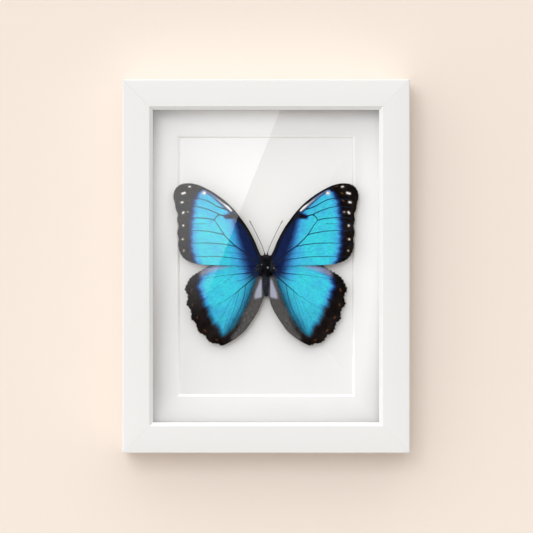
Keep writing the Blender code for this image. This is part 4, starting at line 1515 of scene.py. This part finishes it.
class SPECIMEN_OT_body(PieceOperator, bpy.types.Operator):
    """Make the body with its fur, eyes and palps"""

    bl_idname = "specimen.body"
    bl_label = "Body and fur"

    def make(self, scene):
        settings = scene.specimen_body
        skin = skin_finish("body_skin", settings.skin, SEGMENT_LENGTH * MM)
        fur = fur_finish("body_fur", settings.fur)
        low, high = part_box("butterfly_body")
        centre_y = (low.y + high.y) / 2
        mesh = body_mesh(centre_y, skin)
        furs = fur_tree()
        values = {
            "Density": settings.hair_density / MM**2,
            "Length": settings.hair_length,
            "Seed": settings.seed,
            "Material": fur,
        }
        shoulders = [shoulder_mesh(side, centre_y, skin) for _label, side in SIDES]
        coats = [run_tree("coat", part.copy(), furs, values) for part in (mesh, *shoulders)]
        pale = fur_finish("pale_hairs", settings.pale_fur, 1.5)
        values["Density"] = settings.pale_density / MM**2
        values["Length"] = 1.7 * settings.hair_length
        values["Material"] = pale
        strands = [run_tree("strands", part.copy(), furs, values) for part in shoulders]
        place_piece("body_skin", mesh, ["butterfly_body"])
        place_piece("wing_hinges", joined("wing_hinges", shoulders))
        place_piece("body_coat", coats[0])
        place_piece("hinge_coat", joined("hinge_coat", coats[1:]))
        place_piece("hinge_strands", joined("hinge_strands", strands))
        self.make_head(centre_y, fur)

    def make_head(self, centre_y, fur):
        """Two eyes, two palps and two pale tegula dots, whose pale colour is a painted highlight."""
        eye = eye_finish()
        # pale cream that paints a highlight on each dark tegula
        pale = fur_finish("tegula_painted_highlight", (0.42, 0.41, 0.37), 1.4)
        radii = (0.85, 1.0, 1.0)
        parts = {
            "eyes": [ellipsoid((side * 1.45, -0.45, 5.15), radii, centre_y, eye) for _label, side in SIDES],
            "palps": [palp_mesh(side, centre_y, fur) for _label, side in SIDES],
            # painted highlights: two pale dots where the thorax catches the light, one at each wing base
            "tegula_highlights": [
                ellipsoid((-2.4, -2.15, 0.85), (0.34, 0.25, 0.3), centre_y, pale),
                ellipsoid((4.4, -1.95, -1.05), (0.36, 0.25, 0.36), centre_y, pale),
            ],
        }
        for name, meshes in parts.items():
            place_piece(name, joined(name, meshes))


def body_mesh(centre_y, skin):
    """Head, thorax and ringed abdomen, with the fields that the fur reads."""
    heights, radii = (np.array(column) for column in zip(*BODY_PROFILE[::-1]))
    levels = np.linspace(heights[0], heights[-1], BODY_RINGS)
    smooth = smooth_line(list(zip(heights, radii)), 0.3)
    girth = np.interp(levels, smooth[:, 0], np.maximum(smooth[:, 1], 0.0))
    on_abdomen = 1 - soft_step(levels, -6.4, -5.6)
    phase = np.mod(levels, SEGMENT_LENGTH) / SEGMENT_LENGTH
    girth = girth * (1 - 0.12 * on_abdomen * phase**4)
    points = []
    for level, radius in zip(levels, girth):
        for step in range(BODY_SIDES):
            turn = math.tau * step / BODY_SIDES
            x, y = radius * math.cos(turn), radius * BODY_DEPTH * math.sin(turn)
            points.append((x * MM, y * MM + centre_y, level * MM + CENTRE_Z))
    faces = []
    for ring in range(BODY_RINGS - 1):
        for step in range(BODY_SIDES):
            following = (step + 1) % BODY_SIDES
            a, b = ring * BODY_SIDES + step, ring * BODY_SIDES + following
            faces.append((a, b, b + BODY_SIDES, a + BODY_SIDES))
    mesh = make_mesh("body", points, faces, [skin])
    level_of_point = np.repeat(levels, BODY_SIDES)
    thorax = soft_step(level_of_point, -6.5, -4.0) * (1 - soft_step(level_of_point, 3.8, 4.6))
    head = soft_step(level_of_point, 3.6, 4.4)
    store_field(mesh, "hair_share", 0.14 + 0.86 * thorax + 0.4 * head)
    store_field(mesh, "hair_length", 0.42 + 0.58 * thorax + 0.12 * head)
    lie = np.column_stack([np.zeros(len(points)), np.zeros(len(points)), -1.1 + 0.5 * thorax + 1.3 * head])
    store_field(mesh, "lie", lie)
    faces_outward(mesh, merged=0.001 * MM)
    return mesh


def shoulder_mesh(side, centre_y, skin):
    """The furry hinge between the thorax and the wings of one side, with the fields that the fur reads."""
    middle = (side * 2.7, -0.65, -0.6)
    mesh = ellipsoid(middle, (1.75, 1.1, 3.1), centre_y, skin)
    places = np.array([tuple(v.co) for v in mesh.vertices])
    across = side * places[:, 0] / MM
    up = (places[:, 2] - CENTRE_Z) / MM - middle[2]
    facing = soft_step(centre_y / MM - places[:, 1] / MM, -0.6, 0.4)
    store_field(mesh, "hair_share", facing * 0.8)
    store_field(mesh, "hair_length", 0.75 + 0.5 * soft_step(across, 2.5, 5.0))
    outward = np.column_stack([side * (0.4 + 0.45 * across), np.full(len(places), 0.45), 0.42 * up])
    store_field(mesh, "lie", outward)
    return mesh


def ellipsoid(centre, radii, centre_y, material):
    """An ellipsoid, its centre and radii in mm from the body's axis and the frame's centre."""
    rings = 14
    turns = [math.pi * ring / rings for ring in range(rings + 1)]
    mesh = lathe("ellipsoid", [(math.sin(turn), math.cos(turn)) for turn in turns], 24, [material])
    mesh.transform(Matrix.Diagonal((*(Vector(radii) * MM), 1.0)))
    place = (centre[0] * MM, centre_y + centre[1] * MM, CENTRE_Z + centre[2] * MM)
    mesh.transform(Matrix.Translation(place))
    return mesh


def palp_mesh(side, centre_y, fur):
    """A short tapered palp that stands up from the face."""
    profile = [(0.0, 2.3), (0.1, 2.1), (0.22, 1.5), (0.34, 0.7), (0.34, 0.0), (0.0, -0.1)]
    mesh = lathe("palp", [(r * MM, h * MM) for r, h in profile], 14, [fur])
    mesh.transform(Matrix.Rotation(math.radians(side * 4.0), 4, "Y"))
    place = (side * 0.58 * MM, centre_y - 0.9 * MM, CENTRE_Z + 5.5 * MM)
    mesh.transform(Matrix.Translation(place))
    return mesh


# Route of the right antenna in mm, from the head to the club
ANTENNA_ROUTE = [(1.0, 5.6), (1.15, 8.2), (2.5, 12.0), (4.2, 15.6), (5.95, 19.2), (7.6, 22.4), (9.2, 25.4)]


class SPECIMEN_OT_antennae(PieceOperator, bpy.types.Operator):
    """Make the two ringed antennae"""

    bl_idname = "specimen.antennae"
    bl_label = "Antennae"

    def make(self, scene):
        finish = fur_finish("antenna_brown", (0.085, 0.06, 0.045), 1.5)
        values = {"Thickness": 1.0, "Sides": 10, "Material": finish}
        tubes = tube_tree()
        route = smooth_line(ANTENNA_ROUTE, 0.15)
        count = len(route)
        club = soft_step(np.linspace(0, 1, count), 0.86, 0.97)
        rings = 1 + 0.12 * np.cos(np.arange(count) * math.pi / 2)
        girth = (0.14 + 0.12 * club) * rings
        for label, side in SIDES:
            node = "antenna_" + label
            low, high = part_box(node)
            y = (low.y + high.y) / 2 / MM
            world = to_world(route, np.full(count, y), side)
            lines = line_mesh("antenna_line", [world], {"girth": girth * MM})
            mesh = run_tree(node + "_route", lines, tubes, values)
            place_piece(node + "_ringed", mesh, [node])


class SPECIMEN_OT_pin(PieceOperator, bpy.types.Operator):
    """Make the insect pin"""

    bl_idname = "specimen.pin"
    bl_label = "Insect pin"

    def make(self, scene):
        low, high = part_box("insect_pin")
        head = (high.x - low.x) / 2
        length = high.y - low.y - head
        steps = 12
        shaft = 0.25 * MM
        point = 1.5 * MM
        neck = math.asin(shaft / head)
        turns = [index * (math.pi - neck) / steps for index in range(steps + 1)]
        profile = [(head * math.sin(turn), head * math.cos(turn)) for turn in turns]
        profile += [(shaft, point - length), (0.0, -length)]
        finish = metal_finish("pin_steel", (0.78, 0.78, 0.76), 0.25, 1)
        mesh = lathe("pin", profile, 24, [finish])
        mesh.transform(Matrix.Rotation(math.radians(90.0), 4, "X"))
        mesh.transform(Matrix.Translation(((low.x + high.x) / 2, low.y + head, (low.z + high.z) / 2)))
        place_piece("steel_pin", mesh, ["insect_pin"])


class SPECIMEN_OT_hardware(PieceOperator, bpy.types.Operator):
    """Make the bendable tabs, the sawtooth hanger and its rivets"""

    bl_idname = "specimen.hardware"
    bl_label = "Back hardware"

    def make(self, scene):
        zinc = metal_finish("tab_zinc", (0.6, 0.6, 0.59), 0.38, 0)
        brassy = metal_finish("hanger_brass_plate", (0.7, 0.56, 0.3), 0.32, 0)
        for node in sorted(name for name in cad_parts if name.startswith("flex_tab")):
            place_piece(node.replace("flex_tab", "bent_tab"), tab_mesh(node, zinc), [node])
        plate = softened("hanger", welded_copy("hanger_plate"), 0.12 * MM, brassy)
        place_piece("sawtooth_hanger", plate, ["hanger_plate"])
        for label, _side in SIDES:
            node = "hanger_rivet_" + label
            rivet = softened(node, welded_copy(node), 0.1 * MM, brassy, smooth_angle=50.0)
            place_piece(f"rivet_{label}", rivet, [node])


def tab_mesh(node, finish):
    """A pressed tab with rounded corners, its free end bent a little away from the panel."""
    low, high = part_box(node)
    centre = (low + high) / 2
    across_x = abs(centre.x) < 5 * MM
    inward = -math.copysign(1.0, (centre.z - CENTRE_Z) if across_x else centre.x)
    half = (high.x - low.x) / 2
    thickness = high.y - low.y
    corner = 2.2 * MM
    steps = 6
    outline = []
    for sign, first_turn in ((-1, -math.pi / 2), (1, 0.0)):
        middle = Vector((half - corner, sign * (half - corner)))
        for step in range(steps + 1):
            turn = first_turn + step * math.pi / 2 / steps
            outline.append(middle + Vector((math.cos(turn), math.sin(turn))) * corner)
    outline += [Vector((-half, half)), Vector((-half, -half))]
    shape = bmesh.new()
    face = shape.faces.new([shape.verts.new((p.x, 0.0, p.y)) for p in outline])
    extruded = bmesh.ops.extrude_face_region(shape, geom=[face])
    moved = [item for item in extruded["geom"] if isinstance(item, bmesh.types.BMVert)]
    bmesh.ops.translate(shape, vec=(0.0, thickness, 0.0), verts=moved)
    bend_start = 0.5 * MM
    rise = 0.9 * MM
    for x in np.linspace(bend_start, 5.5 * MM, 8):
        parts = shape.verts[:] + shape.edges[:] + shape.faces[:]
        bmesh.ops.bisect_plane(shape, geom=parts, plane_co=(x, 0, 0), plane_no=(1, 0, 0))
    for vertex in shape.verts:
        reach = max(vertex.co.x - bend_start, 0.0) / (half - bend_start)
        vertex.co.y += rise * reach * reach
    bmesh.ops.recalc_face_normals(shape, faces=shape.faces)
    mesh = bpy.data.meshes.new(node + "_pressed")
    shape.to_mesh(mesh)
    shape.free()
    turn = 0.0
    if across_x:
        turn = -math.pi / 2 if inward > 0 else math.pi / 2
    elif inward < 0:
        turn = math.pi
    mesh.transform(Matrix.Rotation(turn, 4, "Y"))
    mesh.transform(Matrix.Translation((centre.x, low.y, centre.z)))
    return softened(node + "_tab", mesh, 0.08 * MM, finish, smooth_angle=35.0)


class SPECIMEN_OT_stage(PieceOperator, bpy.types.Operator):
    """Set the wall, the floor, the lights and the camera"""

    bl_idname = "specimen.stage"
    bl_label = "Stage"

    def make(self, scene):
        settings = scene.specimen_stage
        scene.view_settings.view_transform = "Standard"
        camera = self.make_camera(scene, settings)
        self.make_backdrop(settings)
        self.make_lights(settings)
        self.make_glare(settings, camera)
        self.make_world(scene, settings)

    def make_camera(self, scene, settings):
        """A long lens straight in front, aimed a little off the frame's centre."""
        data = bpy.data.cameras.new("camera")
        data.lens = settings.lens
        data.sensor_width = 36.0
        camera = link_object("camera", data)
        camera.location = (0.28 * MM, CAD_LOW.y - settings.distance, CENTRE_Z - 0.22 * MM)
        camera.rotation_euler = (math.radians(90.0), 0.0, 0.0)
        scene.camera = camera
        return camera

    def make_backdrop(self, settings):
        """A wall with a hole behind the frame, and a floor. Both are clear from behind."""
        wall_paint = backdrop_finish("wall_paint", settings.wall)
        floor_paint = backdrop_finish("floor_paint", (0.82, 0.79, 0.76))
        inset = 0.7 * MM
        wall_y = CAD_HIGH.y + 0.1 * MM
        floor_z = CENTRE_Z - 1.0
        wall_reach = 1.7
        outer = (-wall_reach, wall_reach, floor_z, CENTRE_Z + 1.3)
        inner = (CAD_LOW.x + inset, CAD_HIGH.x - inset, CAD_LOW.z + inset, CAD_HIGH.z - inset)
        points = []
        for left, right, bottom, top in (outer, inner):
            corners = ((left, bottom), (right, bottom), (right, top), (left, top))
            points += [(x, wall_y, z) for x, z in corners]
        faces = [(i, (i + 1) % 4, (i + 1) % 4 + 4, i + 4) for i in range(4)]
        wall = make_mesh("wall", points, faces, [wall_paint], smooth=False)
        reach = 0.8
        points = [(x * reach, y * reach, floor_z) for x, y in ((-1, -1), (1, -1), (1, 1), (-1, 1))]
        floor = make_mesh("floor", points, [(0, 1, 2, 3)], [floor_paint], smooth=False)
        for mesh in (wall, floor):
            link_object(mesh.name, mesh)

    def make_lights(self, settings):
        """A cool window light in front, without its own reflection, and two weak lights on the back."""
        centre = Vector((0.0, CAD_LOW.y, CENTRE_Z))
        white = (1.0, 1.0, 1.0)
        # name, place from the frame's centre in metres, size, power, colour and whether surfaces mirror it
        lamps = [
            ("window_light", (-1.9, -8.5, 2.5), 3.4, settings.key_power, (0.92, 0.982, 1.06), False),
            ("back_light", (-1.3, 2.3, 0.9), 1.4, 10.0, white, True),
            ("back_fill", (1.7, 1.9, -0.1), 1.2, 5.0, white, True),
        ]
        for name, place, size, power, colour, mirrored in lamps:
            data = bpy.data.lights.new(name, "AREA")
            data.shape = "SQUARE"
            data.size = size
            data.energy = power
            data.color = colour
            lamp = link_object(name, data)
            lamp.location = centre + Vector(place)
            lamp.rotation_mode = "QUATERNION"
            lamp.rotation_quaternion = Vector(place).to_track_quat("Z", "Y")
            lamp.visible_glossy = mirrored

    def make_glare(self, settings, camera):
        """A bright card behind the camera whose mirror image lies over the left of the glass."""
        # its corners as they show on the glass, in mm from the frame's centre: it fades from the lower ones
        # up to the full height, which is in mm above the camera
        on_glass = [(-72, 96), (11.5, 96), (-40.6, -36), (-72, -36)]
        full_height = 30.0
        card_distance = 3.0
        card_y = GLASS_LOW.y - card_distance
        eye = camera.location
        eye_distance = GLASS_LOW.y - eye.y
        reach = (eye_distance + card_distance) / eye_distance
        points = []
        for x, z in on_glass:
            px, pz = x * MM, z * MM + CENTRE_Z
            points.append((eye.x + (px - eye.x) * reach, card_y, eye.z + (pz - eye.z) * reach))
        material = bpy.data.materials.new("glare_card")
        material.use_nodes = True
        tree = material.node_tree
        tree.nodes.clear()
        place = add_node(tree, "ShaderNodeTexCoord").outputs["Object"]
        height = add_node(tree, "ShaderNodeSeparateXYZ", {"Vector": place}).outputs["Z"]
        bottom, top = points[2][2], eye.z + full_height * MM * reach
        strength = fade(tree, height, bottom, top, 0.0, settings.glare)
        glow = add_node(tree, "ShaderNodeEmission", {"Color": (1.0, 0.995, 0.985, 1.0), "Strength": strength})
        add_node(tree, "ShaderNodeOutputMaterial", {"Surface": glow.outputs["Emission"]})
        mesh = make_mesh("glare_card", points, [(0, 1, 2, 3)], [material], smooth=False)
        card = link_object("glare_card", mesh)
        card.visible_camera = False
        card.visible_diffuse = False
        card.visible_transmission = False
        card.visible_shadow = False

    def make_world(self, scene, settings):
        """A bright room, lighter at the upper left and dark behind the camera to keep the glass clear."""
        world = bpy.data.worlds.new("surroundings")
        scene.world = world
        world.use_nodes = True
        tree = world.node_tree
        tree.nodes.clear()
        path = add_node(tree, "ShaderNodeLightPath")
        way = add_node(tree, "ShaderNodeTexCoord").outputs["Generated"]
        x, y, z = add_node(tree, "ShaderNodeSeparateXYZ", {"Vector": way}).outputs
        leftward = calculate(tree, "MULTIPLY_ADD", x, -settings.slope_left, 1.0)
        upward = calculate(tree, "MULTIPLY_ADD", z, settings.slope_up, leftward)
        strength = calculate(tree, "MULTIPLY", calculate(tree, "MAXIMUM", upward, 0.05), settings.ambient)
        flag = fade(tree, y, -0.86, -0.97)
        flag = calculate(tree, "MULTIPLY", flag, path.outputs["Is Glossy Ray"])
        strength = calculate(tree, "MULTIPLY", strength, calculate(tree, "SUBTRACT", 1.0, flag))
        dim = add_node(tree, "ShaderNodeBackground", {"Color": (1.0, 0.972, 0.932, 1), "Strength": strength})
        pale = add_node(tree, "ShaderNodeBackground", {"Color": (0.86, 0.82, 0.78, 1), "Strength": 0.9})
        seen = path.outputs["Is Camera Ray"]
        surface = mix_shaders(tree, seen, dim.outputs["Background"], pale.outputs["Background"])
        add_node(tree, "ShaderNodeOutputWorld", {"Surface": surface})
        world.cycles_visibility.transmission = False


def backdrop_finish(name, colour):
    """Matt wall paint with a faint roller texture, clear when seen from behind."""
    material, tree, shader, place = new_finish(name, 0.95)
    shader.inputs["Specular IOR Level"].default_value = 0.1
    clouds = noise(tree, place, 3.0, detail=2.0)
    set_colour(tree, shader, two_tone(tree, clouds, colour, 0.995, 1.005))
    behind = add_node(tree, "ShaderNodeNewGeometry").outputs["Backfacing"]
    clear = add_node(tree, "ShaderNodeBsdfTransparent").outputs["BSDF"]
    surface = mix_shaders(tree, behind, shader.outputs["BSDF"], clear)
    tree.links.new(surface, tree.nodes["Material Output"].inputs["Surface"])
    return material


# ---------------------------------------------------------------- panel and registration


class SPECIMEN_PT_panel(bpy.types.Panel):
    """Buttons and settings for the framed butterfly"""

    bl_label = "Framed Butterfly"
    bl_space_type = "VIEW_3D"
    bl_region_type = "UI"
    bl_category = "Specimen"

    def draw(self, context):
        layout = self.layout
        for operator in OPERATORS:
            layout.operator(operator.bl_idname)
        for pointer in SETTINGS:
            settings = getattr(context.scene, pointer)
            for name in settings.bl_rna.properties.keys():
                if name not in ("rna_type", "name"):
                    layout.prop(settings, name)


SETTINGS = {
    "specimen_frame": FrameSettings,
    "specimen_wings": WingSettings,
    "specimen_body": BodySettings,
    "specimen_stage": StageSettings,
}
OPERATORS = (
    SPECIMEN_OT_stage,
    SPECIMEN_OT_moulding,
    SPECIMEN_OT_cards,
    SPECIMEN_OT_glass,
    SPECIMEN_OT_wings,
    SPECIMEN_OT_body,
    SPECIMEN_OT_antennae,
    SPECIMEN_OT_pin,
    SPECIMEN_OT_hardware,
)
CLASSES = (*SETTINGS.values(), *OPERATORS, SPECIMEN_PT_panel)


def register():
    for item in CLASSES:
        bpy.utils.register_class(item)
    for pointer, group in SETTINGS.items():
        setattr(bpy.types.Scene, pointer, PointerProperty(type=group))


def unregister():
    for pointer in SETTINGS:
        delattr(bpy.types.Scene, pointer)
    for item in reversed(CLASSES):
        bpy.utils.unregister_class(item)


def main():
    register()
    for operator in OPERATORS:
        group, name = operator.bl_idname.split(".")
        getattr(getattr(bpy.ops, group), name)()


if __name__ == "__main__":
    main()
